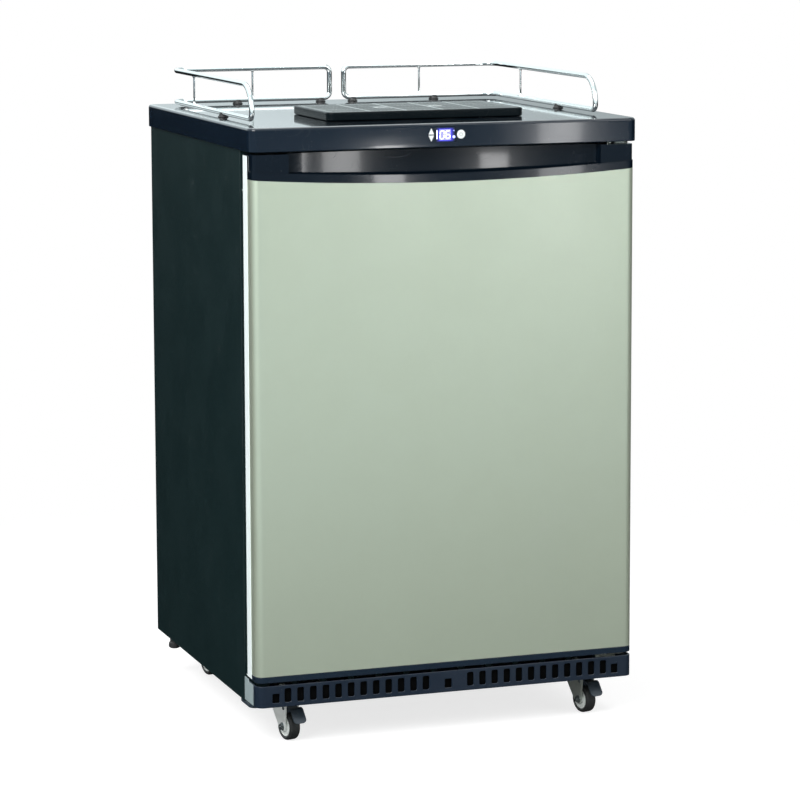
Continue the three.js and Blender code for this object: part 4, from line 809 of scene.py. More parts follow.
glowLook = {"x": -0.0035, "lift": -0.0002, "halfX": 0.0085, "halfZ": 0.0062, "fade": 0.0062,
            "colour": (0.055, 0.05, 0.75), "strength": 1.0, "left": 0.0096, "right": 0.0086,
            "below": 0.0080, "above": 0.0078}
digitLook = {"height": 0.0112, "width": 0.0062, "stroke": 0.0012, "gap": 0.00025,
             "lefts": (-0.0115, -0.0027), "slant": 0.08, "figures": ("abcdef", "acdefg"),
             "proud": 0.00012, "barLeft": -0.0172, "barRight": -0.0161, "barLow": 0.0062,
             "barHigh": 0.0066}
iconLook = {"dotX": 0.0096, "dotDrop": 0.0034, "dot": 0.0022, "sunX": 0.0097, "sunRise": 0.0058,
            "sun": 0.0008, "ray": 0.00028, "rays": 6}


def makeDisplay(look, glow, digits, icon):
    glass = makeWindowMaterial(look, glow)
    y, middle = look["front"] + 0.00025, look["middle"]
    half, tall = look["windowWidth"] / 2, look["windowHeight"] / 2
    bm = plainBlock((look["windowX"] - half, y, middle - tall),
                    (look["windowX"] + half, y + 0.0048, middle + tall))
    rounded(bm, edgesWhere(bm, along(1, 0.001)), 0.0011, 4)
    placed("displayWindow", bm, glass, "cabinet", ("display_window",), 30.0, 0.0003)

    panel = plainBlock((glow["x"] - glow["left"], y - 0.00003, middle - glow["below"]),
                       (glow["x"] + glow["right"], y + 0.0004, middle + glow["above"]))
    rounded(panel, edgesWhere(panel, along(1, 0.0003)), 0.0012, 4)
    backlight = makeGlowMaterial("displayBacklight", (0.20, 0.20, 1.0), 1.15, (0.10, 0.09, 0.8))
    placed("displayBacklight", panel, backlight, "cabinet", (), 30.0)

    bm = bmesh.new()
    wide, high, stroke = digits["width"], digits["height"], digits["stroke"]
    bars = {"a": (0, 1, 1, 1), "g": (0, 0.5, 1, 0.5), "d": (0, 0, 1, 0), "f": (0, 0.5, 0, 1),
            "b": (1, 0.5, 1, 1), "e": (0, 0, 0, 0.5), "c": (1, 0, 1, 0.5)}
    for left, figure in zip(digits["lefts"], digits["figures"]):
        for key in figure:
            u0, v0, u1, v1 = bars[key]
            flat = v0 == v1
            ends = stroke / 2 + digits["gap"]
            low = (left + u0 * wide + (ends if flat else -stroke / 2), y - digits["proud"],
                   middle - high / 2 + v0 * high + (-stroke / 2 if flat else ends))
            top = (left + u1 * wide + (-ends if flat else stroke / 2), y + 0.0001,
                   middle - high / 2 + v1 * high + (stroke / 2 if flat else -ends))
            verts = blockIn(bm, low, top)
            for vert in verts:
                vert.co.x += (vert.co.z - middle) * digits["slant"]
    blockIn(bm, (digits["barLeft"], y - 0.0001, middle - digits["barLow"]),
            (digits["barRight"], y + 0.0001, middle + digits["barHigh"]))
    lit = makeGlowMaterial("displayDigits", (0.93, 0.95, 1.0), 2.2, (0.8, 0.85, 1.0))
    placed("displayFigures", bm, lit, "cabinet", (), 30.0)

    bm = bmesh.new()
    x, z = icon["dotX"], middle - icon["dotDrop"]
    rodIn(bm, (x, y - 0.0001, z), (x, y + 0.0002, z), icon["dot"], 28)
    for turn in range(icon["rays"]):  # a small sun-like ring of rays
        angle = turn * math.pi / 3
        x = icon["sunX"] + icon["sun"] * math.cos(angle)
        z = middle + icon["sunRise"] + icon["sun"] * math.sin(angle)
        rodIn(bm, (x, y - 0.0001, z), (x, y + 0.0001, z), icon["ray"], 8)
    icons = makeGlowMaterial("displayIcons", (0.42, 0.46, 1.0), 1.3, (0.22, 0.24, 0.9))
    placed("displayIcons", bm, icons, "cabinet", (), 30.0)


makeDisplay(controlLook, glowLook, digitLook, iconLook)


signLook = {"start": 118, "sweep": 304, "ring": 0.0024, "line": 0.00034, "sunk": 0.00036,
            "barLow": 0.0007, "barHigh": 0.0031}


def makeButtons(look, sign):
    y, back = look["front"], look["front"] + 0.005
    for hand, name, node in ((1, "upButton", "up_button"), (-1, "downButton", "down_button")):
        bm = bmesh.new()
        outlineIn(bm, arrowPoints(look, hand, 0.0, y + 0.0001), (0, back - y - 0.0001, 0))
        rounded(bm, edgesWhere(bm, along(1, 0.001)), 0.0007, 4)
        placed(name, bm, "buttonWhite", node, (node,), 30.0, 0.00035)
    middle, radius, x = look["middle"], look["power"], look["powerX"]
    profile = [(0, 0.0052), (radius, 0.0052), (radius, 0.0007), (radius - 0.0002, 0.0003),
               (radius - 0.0006, 0.0001), (radius - 0.0014, 0.0001), (radius - 0.003, 0.00022),
               (0, 0.0003)]
    turnedPiece("powerButton", profile, 48, facing((x, y, middle), (0, 1, 0)), "buttonWhite",
                "power_button", ("power_button",), 30.0)
    bm = bmesh.new()  # power sign: an open ring with a bar in its gap
    start, sweep = math.radians(sign["start"]), math.radians(sign["sweep"])
    ring, line = sign["ring"], sign["line"]
    signY = y + sign["sunk"]  # half sunk into the button, behind the front of the worktop
    end = (x + ring * math.cos(start), signY, middle + ring * math.sin(start))
    circle = bmesh.ops.create_circle(bm, cap_ends=True, radius=line, segments=8,
                                     matrix=facing(end, (math.sin(start), 0, -math.cos(start))))["verts"]
    grown = bmesh.ops.spin(bm, geom=circle + edgesOf(circle, anyEdge), cent=(x, signY, middle),
                           axis=(0, -1, 0), dvec=(0, 0, 0), angle=sweep, steps=30, use_merge=False,
                           use_duplicate=False)
    bmesh.ops.edgeloop_fill(bm, edges=ringEnds(grown["geom_last"])[1])
    rodIn(bm, (x, signY, middle + sign["barLow"]), (x, signY, middle + sign["barHigh"]), line, 8)
    placed("powerSign", bm, "signGrey", "power_button", (), 30.0)


makeButtons(controlLook, signLook)
print("worktop and controls made")

# Guard rails on their feet
railLook = {"side": 0.271, "front": -0.193, "back": 0.237, "low": 0.9225, "high": 0.972, "inner": 0.012,
            "tube": 0.004, "sides": 20, "endBend": 0.009, "backBend": 0.022, "frontBend": 0.040,
            "stick": 0.0015, "sideStick": 0.117, "backStick": 0.141, "deck": 0.9163}


def makeRail(name, node, hand, look):
    x, inner = hand * look["side"], hand * look["inner"]
    front, back, low, high = pick(look, "front", "back", "low", "high")
    middle = (low + high) / 2
    bm = bmesh.new()
    route = [(inner, back, middle), (inner, back, low, look["endBend"]),
             (x, back, low, look["backBend"]), (x, front, low, look["endBend"]),
             (x, front, high, look["frontBend"]), (x, back, high, look["backBend"]),
             (inner, back, high, look["endBend"]), (inner, back, middle)]
    tubeIn(bm, route, look["tube"], look["sides"], 10, closed=True)
    thin, weld = look["stick"], look["stick"] * 1.9
    reach = look["tube"]
    profile = [(0, low), (weld, low), (weld, low + reach), (thin * 1.25, low + reach + 0.0014),
               (thin, low + reach + 0.003), (thin, high - reach - 0.003),
               (thin * 1.25, high - reach - 0.0014), (weld, high - reach), (weld, high), (0, high)]
    for u, v in ((x, look["sideStick"]), (hand * look["backStick"], back)):
        turnedIn(bm, profile, 14, Matrix.Translation((u, v, 0)))
    placed(name, bm, "chrome", "cabinet", (node,), 40.0)


def makeRailFoot(name, node, x, y, acrossX, look):
    deck, low = look["deck"], look["low"]
    profile = [(0, deck), (0.0078, deck), (0.0082, deck + 0.0004), (0.0080, deck + 0.0012),
               (0.0066, deck + 0.0018), (0.0060, deck + 0.0030), (0.0058, low - 0.0012),
               (0.0052, low - 0.0002), (0.0045, low), (0, low)]
    bm = bmesh.new()
    turnedIn(bm, profile, 32, Matrix.Translation((x, y, 0)))
    channel = bmesh.new()
    reach = Vector((0.012, 0, 0)) if acrossX else Vector((0, 0.012, 0))
    rodIn(channel, Vector((x, y, low)) - reach, Vector((x, y, low)) + reach, look["tube"] + 0.0003, 28)
    placed(name, combined(bm, [channel]), "rubberBlack", "cabinet", (node,), 35.0,
           0.0002)


for sideName, hand in (("left", -1), ("right", 1)):
    makeRail("guardRail" + sideName.capitalize(), "guard_rail_" + sideName, hand, railLook)
    for spot, x, y, acrossX in (("side", 0.271, -0.043, False), ("back", 0.166, 0.237, True),
                                ("centre", 0.027, 0.237, True)):
        makeRailFoot("railFoot" + sideName.capitalize() + spot.capitalize(), f"rail_foot_{sideName}_{spot}",
                     hand * x, y, acrossX, railLook)
print("guard rails made")

# Drip tray and its grid
trayLook = {"side": 0.155, "front": -0.195, "back": -0.018, "low": 0.9163, "high": 0.9293, "corner": 0.012,
            "edge": 0.0025, "wall": 0.0025, "ledge": 0.006, "gridDepth": 0.0025, "bottom": 0.002}
gridLook = {"panels": 5, "rib": 0.004, "slots": 9, "slotWidth": 0.0024, "bars": 3, "frame": 0.008,
            "thickness": 0.002, "drain": 0.044, "drainLong": 0.0085, "drainWide": 0.0058}


def makeTray(look):
    side, front, back, low, high = pick(look, "side", "front", "back", "low", "high")
    bm = roundedBlock((-side, front, low), (side, back, high), look["corner"], look["corner"], 4)
    rounded(bm, rimAt(bm, high), look["edge"], 4)
    rounded(bm, rimAt(bm, low), look["edge"], 3)
    depth = look["gridDepth"]
    for inset, drop in ((look["wall"], depth), (look["ledge"], high - depth - low - look["bottom"])):
        sinkFace(bm, 2, inset, (0, 0, -drop))
    placed("dripTray", bm, "trayBlack", "drip_tray", ("drip_tray",), 32.0, 0.0004)


def makeGrid(look, tray):
    inset = tray["edge"] + tray["wall"] + 0.0003
    side, front, back = tray["side"] - inset, tray["front"] + inset, tray["back"] - inset
    low = tray["high"] - tray["gridDepth"] + 0.0003
    high = low + look["thickness"]
    bm = roundedBlock((-side, front, low), (side, back, high), tray["corner"] - inset,
                      tray["corner"] - inset, 4)
    wide, middle = 2 * (side - look["frame"]), (front + back) / 2
    deep = back - front - 2 * look["frame"]
    panel = (wide - (look["panels"] - 1) * look["rib"]) / look["panels"]
    slots = bmesh.new()
    pitch = panel / look["slots"]
    run = deep / look["bars"]
    for i in range(look["panels"]):
        left = -wide / 2 + i * (panel + look["rib"])
        for k in range(look["slots"]):
            x = left + (k + 0.5) * pitch
            for row in range(look["bars"]):
                y0 = middle - deep / 2 + row * run + 0.0015
                if abs(abs(x) - look["drain"]) < 0.011 and abs(y0 + run / 2 - middle) < 0.02:
                    continue
                blockIn(slots, (x - look["slotWidth"] / 2, y0, low - 0.001),
                        (x + look["slotWidth"] / 2, y0 + run - 0.003, high + 0.001))
    drains = []
    oval = Matrix.Diagonal((look["drainLong"], look["drainWide"], 1, 1))
    for hand in (-1, 1):
        hole = bmesh.new()
        turnedIn(hole, [(0, low - 0.001), (1, low - 0.001), (1, high + 0.001), (0, high + 0.001)], 36,
                 Matrix.Translation((hand * look["drain"], middle, 0)) @ oval)
        drains.append(hole)
    placed("dripGrid", combined(bm, [slots, *drains]), "gridSteel", "drip_grid",
           ("drip_grid",), 32.0, 0.0002)
    bm = bmesh.new()
    for i in range(1, look["panels"]):
        x = -wide / 2 + i * (panel + look["rib"]) - look["rib"] / 2
        verts = blockIn(bm, (x - 0.0012, front + 0.003, high - 0.0004),
                        (x + 0.0012, back - 0.003, high + 0.0003))
        rounded(bm, edgesOf(verts, lambda a, b: abs(a.y - b.y) > 0.01 and a.z > high), 0.0003, 3)
    rim = [(0.92, -0.0004), (1.0, -0.0004), (1.0, 0.0001), (1.14, 0.0004), (1.30, 0.0002), (1.34, -0.0004)]
    for hand in (-1, 1):
        turnedIn(bm, rim, 36, Matrix.Translation((hand * look["drain"], middle, high)) @ oval)
    placed("dripGridRibs", bm, "brushedSteel", "drip_grid", (), 32.0)


makeTray(trayLook)
makeGrid(gridLook, trayLook)
print("drip tray made")

# Door
doorLook = {"side": 0.298, "front": -0.283, "back": -0.236, "corner": 0.012, "skinLow": 0.1113,
            "skinHigh": 0.841, "dip": 0.011, "sheet": 0.001, "steps": 40, "top": 0.877, "bottom": 0.102,
            "trimTop": 0.111}
pocketLook = {"lip": 0.012, "lipThickness": 0.008, "half": 0.243, "back": -0.253, "bow": 0.0095,
              "endRadius": 0.012, "reach": 0.31, "crease": 0.216, "floor": 0.822, "step": 0.0011,
              "hiddenLow": 0.815, "inset": 0.0013, "backGap": 0.0023, "endLean": 0.0018}


def dipAt(x, look):
    return -look["dip"] * (1 - (x / look["side"]) ** 2)


def sliced(bm, steps):  # cuts across the long edges, so that the mesh can follow the dip
    bmesh.ops.subdivide_edges(bm, edges=edgesWhere(bm, along(0, 0.4)), cuts=steps, use_grid_fill=True)


def makeDoorSkin(look):
    low, high, side = look["skinLow"], look["skinHigh"], look["side"]
    bm = roundedBlock((-side, look["front"], low), (side, look["back"], high), look["corner"], 0, 14)
    ends = [face for face in bm.faces if abs(face.normal.z) > 0.5 or face.normal.y > 0.5]
    bmesh.ops.delete(bm, geom=ends, context="FACES_ONLY")
    bmesh.ops.delete(bm, geom=[edge for edge in bm.edges if not edge.link_faces], context="EDGES")
    sliced(bm, look["steps"])
    for vert in bm.verts:
        if vert.co.z > high - 0.0001 and vert.co.y < look["front"] + look["corner"]:
            vert.co.z += dipAt(vert.co.x, look)
    bmesh.ops.recalc_face_normals(bm, faces=bm.faces)
    if max(bm.faces, key=lambda face: face.calc_area()).normal.y > 0:
        bmesh.ops.reverse_faces(bm, faces=bm.faces)
    placed("doorSkin", bm, "doorSilver", "door", ("door_skin",), 30.0, None, look["sheet"])


def curvedBlock(low, high, look, lift, above):  # its lower or upper face follows the dipped edge
    bm = plainBlock(low, high)
    sliced(bm, look["steps"])
    edge = low[2] if above else high[2]
    for vert in bm.verts:
        if abs(vert.co.z - edge) < close:
            vert.co.z = lift + dipAt(max(-look["side"], min(look["side"], vert.co.x)), look)
    return bm


def pocketCutter(look, front, high):
    half, back, radius = look["half"], look["back"] - look["bow"], look["endRadius"]
    points = [(-half, front), (half, front)]
    points += arcPoints(half - radius, back - radius, radius, 0, 60, 8)
    for step in range(25):
        x = look["crease"] * (1 - step / 12)
        points.append((x, back + look["bow"] * (1 - (x / look["crease"]) ** 2)))
    points += arcPoints(radius - half, back - radius, radius, 120, 60, 8)
    bm = bmesh.new()
    outlineIn(bm, [(x, y, look["floor"]) for x, y in points], (0, 0, high - look["floor"]))
    return bm


socketLook = {"x": 0.282, "y": -0.258, "radius": 0.0076}  # where a hinge bush sits


def bushSocket(low, high):
    bm = bmesh.new()
    rodIn(bm, (socketLook["x"], socketLook["y"], low), (socketLook["x"], socketLook["y"], high),
          socketLook["radius"], 32)
    return bm


def makeTopCap(look, pocket):
    side, front, back, top = pick(look, "side", "front", "back", "top")
    outer = roundedBlock((-side, front, look["skinHigh"] - look["dip"] - 0.01), (side, back, top),
                         look["corner"], 0, 14)
    reach = pocket["reach"]
    below = curvedBlock((-reach, front - 0.01, 0.80), (reach, back + 0.01, 0.84), look,
                        look["skinHigh"] + 0.0003, False)
    inset = pocket["inset"]
    hidden = roundedBlock((-side + inset, front + inset, pocket["hiddenLow"]),
                          (side - inset, back - pocket["backGap"], look["skinHigh"] + 0.004),
                          look["corner"] - inset, 0, 10)
    lipLine = look["skinHigh"] + pocket["lip"]
    shell = curvedBlock((-reach, front - 0.01, 0.85), (reach, back + 0.01, top + 0.01), look, lipLine, True)
    face = front + pocket["step"]
    core = roundedBlock((-side + pocket["step"], face, 0.80),
                        (side - pocket["step"], back + 0.02, top + 0.02),
                        look["corner"] - pocket["step"], 0, 14)
    wedges = bmesh.new()  # each end block leans back a little towards its corner
    for hand in (-1, 1):
        inX, outX = hand * (pocket["half"] + 0.0003), hand * (side + 0.004)
        points = [(inX, face - 0.004, 0.79), (outX, face - 0.004, 0.79),
                  (outX, face + pocket["endLean"], 0.79), (inX, face, 0.79)]
        outlineIn(wedges, points, (0, 0, 0.12))
    ledge = combined(shell, [combined(core, [wedges])])
    upper = combined(combined(outer, [below]), [ledge])
    body = combined(upper, [hidden], "UNION")
    opening = pocketCutter(pocket, front + pocket["lipThickness"], top + 0.01)
    mouth = curvedBlock((-pocket["half"], front - 0.01, 0.85),
                        (pocket["half"], front + pocket["lipThickness"] + 0.0005, top + 0.01), look,
                        lipLine, True)
    socket = bushSocket(0.8624, 0.89)
    placed("doorTopCap", combined(body, [opening, mouth, socket]), "capGloss", "door",
           ("door_top_cap",), 30.0, 0.0007)


def makeBottomTrim(look, pocket):
    side, front, back = pick(look, "side", "front", "back")
    inset = pocket["inset"]
    bm = roundedBlock((-side, front, look["bottom"]), (side, back, look["trimTop"]), look["corner"], 0, 14)
    spigot = roundedBlock((-side + inset, front + inset, look["trimTop"] - 0.001),
                          (side - inset, back - pocket["backGap"], 0.125), look["corner"] - inset, 0, 8)
    groove = plainBlock((-0.27, front + 0.004, 0.1), (0.27, front + 0.007, 0.1035))  # drip groove below
    tools = [bushSocket(0.09, 0.1166), groove]
    # the trim's lighter black gloss holds painted reflected light
    placed("doorBottomTrim", combined(combined(bm, [spigot], "UNION"), tools), "trimGlossPaintedLight", "door",
           ("door_bottom_trim",), 30.0, 0.0009)


makeDoorSkin(doorLook)
makeTopCap(doorLook, pocketLook)
makeBottomTrim(doorLook, pocketLook)
print("door front made")

# Base grille
grilleLook = {"side": 0.298, "front": -0.283, "back": -0.2205, "low": 0.0648, "high": 0.097,
              "corner": 0.012, "wall": 0.0025, "slots": 12, "slotWidth": 0.0105, "slotLow": 0.0712,
              "slotHigh": 0.0924, "slotCorner": 0.0026, "centreGap": 0.0353, "lastSlot": 0.2506,
              "square": 0.011, "squareTop": 0.0852, "squareX": 0.269}


def makeGrille(look):
    side, front, back, low, high = pick(look, "side", "front", "back", "low", "high")
    bm = roundedBlock((-side, front, low), (side, back, high), look["corner"], 0, 12)
    wall = look["wall"]
    inner = roundedBlock((-side + wall, front + wall, low - 0.01), (side - wall, back + 0.01, high + 0.01),
                         look["corner"] - wall, 0, 8)
    slots = bmesh.new()
    pitch = (look["lastSlot"] - look["centreGap"]) / (look["slots"] - 1)
    for hand in (-1, 1):
        for i in range(look["slots"]):
            x = hand * (look["centreGap"] + i * pitch)
            verts = blockIn(slots, (x - look["slotWidth"] / 2, front - 0.002, look["slotLow"]),
                            (x + look["slotWidth"] / 2, front + 0.006, look["slotHigh"]))
            rounded(slots, edgesOf(verts, along(1, 0.001)), look["slotCorner"], 4)
    for x in (-look["squareX"], 0.0, look["squareX"]):
        verts = blockIn(slots, (x - look["square"] / 2, front - 0.002, look["slotLow"]),
                        (x + look["square"] / 2, front + 0.006, look["squareTop"]))
        rounded(slots, edgesOf(verts, along(1, 0.001)), 0.0008, 3)
    placed("baseGrille", combined(bm, [inner, slots]), "grilleBlack", "cabinet",
           ("base_grille",), 30.0, 0.0005)
    # a dark sheet behind the slots: painted shade for the space behind the grille
    shadowSheet = roundedBlock((-side + 0.004, front + 0.0062, low + 0.001),
                          (side - 0.004, front + 0.0074, high - 0.001), 0, 0)
    placed("grilleShadowSheet", shadowSheet, "paintedShadowBlack", "cabinet", (), 30.0)


makeGrille(grilleLook)
print("base grille made")

# Door edges and small parts low on the cabinet
edgeLook = {"side": 0.298, "proud": 0.0005, "front": -0.2565, "back": -0.2365, "low": 0.1040,
            "high": 0.8745, "lap": 0.006}
sidePlateLook = {"side": 0.298, "proud": 0.0006, "front": -0.264, "back": -0.2215, "low": 0.0655,
                 "high": 0.0965, "tabHigh": 0.1005, "tabFront": -0.242}
sideFootLook = {"side": 0.288, "y": 0.212, "radius": 0.010, "low": 0.0445, "high": 0.0620, "tab": 0.014}
cornerLook = {"side": 0.297, "inner": 0.272, "front": -0.246, "back": -0.188, "low": 0.0562, "high": 0.0619,
              "corner": 0.010}


def makeDoorEdges(look):
    for hand, name in ((-1, "doorEdgeLeft"), (1, "doorEdgeRight")):
        outer = look["side"] + look["proud"]
        low, high = mirrored(hand, outer, look["side"] - 0.0002)
        bm = plainBlock((low, look["front"], look["low"]), (high, look["back"], look["high"]))
        rounded(bm, edgesWhere(bm, lambda a, b: min(abs(a.x), abs(b.x)) > outer - close), 0.0004, 3)
        for z in (look["low"] + 0.004, look["high"] - 0.034):  # the two steps where the corner mouldings end
            verts = blockIn(bm, (low, look["back"] - look["lap"], z - 0.0006),
                            (high, look["back"], z + 0.0006))
            bmesh.ops.scale(bm, vec=(1.0, 0.98, 0.98), verts=verts)
        placed(name, bm, "edgeWhite", "door", (), 30.0)


def makeSidePlates(look):
    for hand, name in ((-1, "grillePlateLeft"), (1, "grillePlateRight")):
        low, high = mirrored(hand, look["side"] + look["proud"], look["side"] - 0.0001)
        bm = bmesh.new()
        points = [(low, look["front"], look["low"]), (low, look["back"], look["low"]),
                  (low, look["back"], look["tabHigh"]), (low, look["tabFront"], look["tabHigh"]),
                  (low, look["tabFront"], look["high"]), (low, look["front"], look["high"])]
        outlineIn(bm, points, (high - low, 0, 0))
        rounded(bm, edgesWhere(bm, along(0, 0.0003)), 0.0015, 4)
        placed(name, bm, "edgeGrey", "cabinet", (), 30.0, 0.0002)


def makeUndersideParts(foot, bracket):
    for hand, label in ((-1, "Left"), (1, "Right")):
        bm = bmesh.new()
        x, radius, low, high = hand * foot["side"], foot["radius"], foot["low"], foot["high"]
        profile = [(0, low), (radius * 0.62, low), (radius * 0.86, low + 0.0012),
                   (radius * 0.95, low + 0.0035), (radius * 0.90, low + 0.009),
                   (radius * 0.74, low + 0.0105), (radius * 0.70, high), (0, high)]
        turnedIn(bm, profile, 28, Matrix.Translation((x, foot["y"], 0)))
        verts = blockIn(bm, (min(x, x - hand * foot["tab"]), foot["y"] - 0.006, high - 0.0022),
                        (max(x, x - hand * foot["tab"]), foot["y"] + 0.006, high))
        rounded(bm, edgesOf(verts, upright), 0.003, 4)
        placed("sideFoot" + label, bm, "rubberBlack", "cabinet", (), 35.0, 0.0004)
        low, high = mirrored(hand, bracket["side"], bracket["inner"])
        bm = plainBlock((low, bracket["front"], bracket["low"]), (high, bracket["back"], bracket["high"]))
        rounded(bm, edgesWhere(bm, upright), bracket["corner"], 7)
        screwIn(bm, ((low + high) / 2, bracket["back"] - 0.015, bracket["low"]), (0, 0, -1), 0.004)
        placed("cornerBracket" + label, bm, "pedalBlack", "cabinet", (), 32.0, 0.0008)


makeDoorEdges(edgeLook)
makeSidePlates(sidePlateLook)
makeUndersideParts(sideFootLook, cornerLook)
print("door edges and underside parts made")

# Casters, worked in a frame whose origin is the swivel axis and whose wheel trails towards -Y
casterLook = {"x": 0.2375, "front": -0.207, "rear": 0.217, "yaw": 12.5, "height": 0.0645, "race": 0.004,
              "raceRadius": 0.018, "boss": 0.008, "stem": 0.005, "stemTop": 0.0803, "trail": 0.022,
              "radius": 0.021, "halfWidth": 0.0085, "legIn": 0.0095, "legOut": 0.0117, "top": 0.0602,
              "under": 0.058, "hub": 0.0150, "axle": 0.003, "pivotBack": 0.004, "pivotRise": 0.008,
              "shoulder": 0.0030}
pedalLook = {"thick": 0.002, "half": 0.0105, "tip": 0.0058, "pin": 0.0025, "shoe": 0.0062}


def hexagonIn(bm, place, direction, across, thick):
    verts = bmesh.ops.create_circle(bm, cap_ends=True, radius=across / math.sqrt(3), segments=6,
                                    matrix=facing(place, direction))["verts"]
    face = next(iter(verts[0].link_faces))
    upper = vertsOf(bmesh.ops.extrude_face_region(bm, geom=[face])["geom"])
    bmesh.ops.translate(bm, vec=Vector(direction).normalized() * thick, verts=upper)
    rim = [edge for edge in edgesOf(upper, anyEdge) if set(edge.verts) <= set(upper)]
    rounded(bm, rim, thick * 0.16, 2)


def makeCasterStem(look, name, label, place):
    low, high = look["height"] - look["race"], look["height"]
    wide = look["raceRadius"]
    profile = [(0, low - 0.0062), (0.0030, low - 0.0060), (0.0046, low - 0.0048), (0.0050, low - 0.0040),
               (look["boss"], low - 0.0040), (look["boss"], low - 0.0005), (look["boss"], low),
               (wide - 0.0022, low), (wide - 0.0008, low + 0.0003), (wide, low + 0.0012),
               (wide - 0.0001, low + 0.0020), (wide - 0.0012, low + 0.0024),
               (wide - 0.0014, low + 0.0034), (wide - 0.0020, high), (look["stem"] + 0.0002, high),
               (look["stem"], high + 0.0005)]
    turns = 9
    for step in range(turns * 2):  # rolled thread above the pan
        z = high + 0.0022 + step * (look["stemTop"] - high - 0.0032) / (turns * 2)
        profile.append((look["stem"] - (0.0005 if step % 2 else 0.0), z))
    profile += [(look["stem"] - 0.0006, look["stemTop"]), (0, look["stemTop"])]
    turnedPiece("casterStem" + label, profile, 40, place, "zinc", "cabinet",
                ("caster_stem_" + name,), 35.0)


def makeCasterFork(look, name, label, turn):
    outer, inner, top, under = pick(look, "legOut", "legIn", "top", "under")
    trail, radius, race = pick(look, "trail", "radius", "raceRadius")
    back = race * 0.6
    shell = plainBlock((-outer, -0.036, 0.012), (outer, 0.02, top))
    rounded(shell, edgesWhere(shell, lambda a, b: min(a.z, b.z) > top - 0.001 and abs(a.y - b.y) > 0.01),
            look["shoulder"], 6)
    room = plainBlock((-inner, -0.04, 0.0), (inner, 0.03, under))
    rounded(room, edgesWhere(room, lambda a, b: min(a.z, b.z) > under - 0.001 and abs(a.y - b.y) > 0.01),
            look["shoulder"] * 0.35, 4)
    pivotY, pivotZ = -trail - look["pivotBack"], 2 * radius + look["pivotRise"]
    points = [(-trail - 0.0068, radius - 0.0052), (-trail + 0.0062, radius - 0.0068), (back, under - 0.010),
              (back, top + 0.002), (pivotY - 0.0055, top + 0.002), (pivotY - 0.0062, pivotZ - 0.0035),
              (-trail - 0.0082, radius + 0.010)]
    outline = bmesh.new()
    outlineIn(outline, [(-0.02, y, z) for y, z in points], (0.04, 0, 0))
    for index, bend in ((0, 0.0055), (1, 0.0055), (2, 0.008), (5, 0.004), (6, 0.012)):
        y, z = points[index]
        edge = edgesWhere(outline, lambda a, b: abs(a.x - b.x) > 0.03 and abs(a.y - y) < close
                          and abs(a.z - z) < close)
        rounded(outline, edge, bend, 5)
    crown = bmesh.new()
    turnedIn(crown, [(0.0, under), (race - 0.0010, under), (race, under + 0.0007), (race, top - 0.0007),
                     (race - 0.0008, top), (0.0, top)], 48)
    shaped = combined(combined(combined(shell, [room]), [outline], "INTERSECT"), [crown], "UNION")
    hole = bmesh.new()
    rodIn(hole, (0, 0, under - 0.01), (0, 0, top + 0.01), look["boss"] + 0.0003, 36)
    bm = combined(shaped, [hole])
    bolts = bmesh.new()  # axle bolt, washer, nut and pedal rivet on both legs, in a darker steel that is partly painted shade: the washer ring stands for shadow round the nut
    for hand in (-1, 1):
        face = hand * outer
        out = (hand, 0, 0)
        turnedIn(bolts, [(0, -0.0002), (0.0062, -0.0002), (0.0062, 0.0003), (0.0056, 0.0007),
                         (0, 0.0007)], 28, facing((face, -trail, radius), out))
        hexagonIn(bolts, (face + hand * 0.0006, -trail, radius), out, 0.0086,
                  0.0026 if hand < 0 else 0.0022)
        rodIn(bolts, (face + hand * 0.0028, -trail, radius), (face + hand * 0.0040, -trail, radius),
              0.0024, 18, 0.0004)
        turnedIn(bolts, [(0, -0.0002), (0.0031, -0.0002), (0.0030, 0.0005), (0.0022, 0.0012),
                         (0.0010, 0.0015), (0, 0.0015)], 22, facing((face, pivotY, pivotZ), out))
    rodIn(bolts, (-outer, -trail, radius), (outer, -trail, radius), look["axle"], 20)
    bmesh.ops.transform(bolts, matrix=turn, verts=bolts.verts)
    placed("casterBolts" + label, bolts, "boltSteelPaintedShade", "swivel_" + name, (), 32.0)
    bmesh.ops.transform(bm, matrix=turn, verts=bm.verts)
    # the left forks take the near-white zinc as painted light from the left; the right forks keep plain zinc
    finish = "casterZincPaintedLight" if name.endswith("left") else "zinc"
    placed("casterFork" + label, bm, finish, "swivel_" + name, ("caster_fork_" + name,),
           32.0, 0.0003)


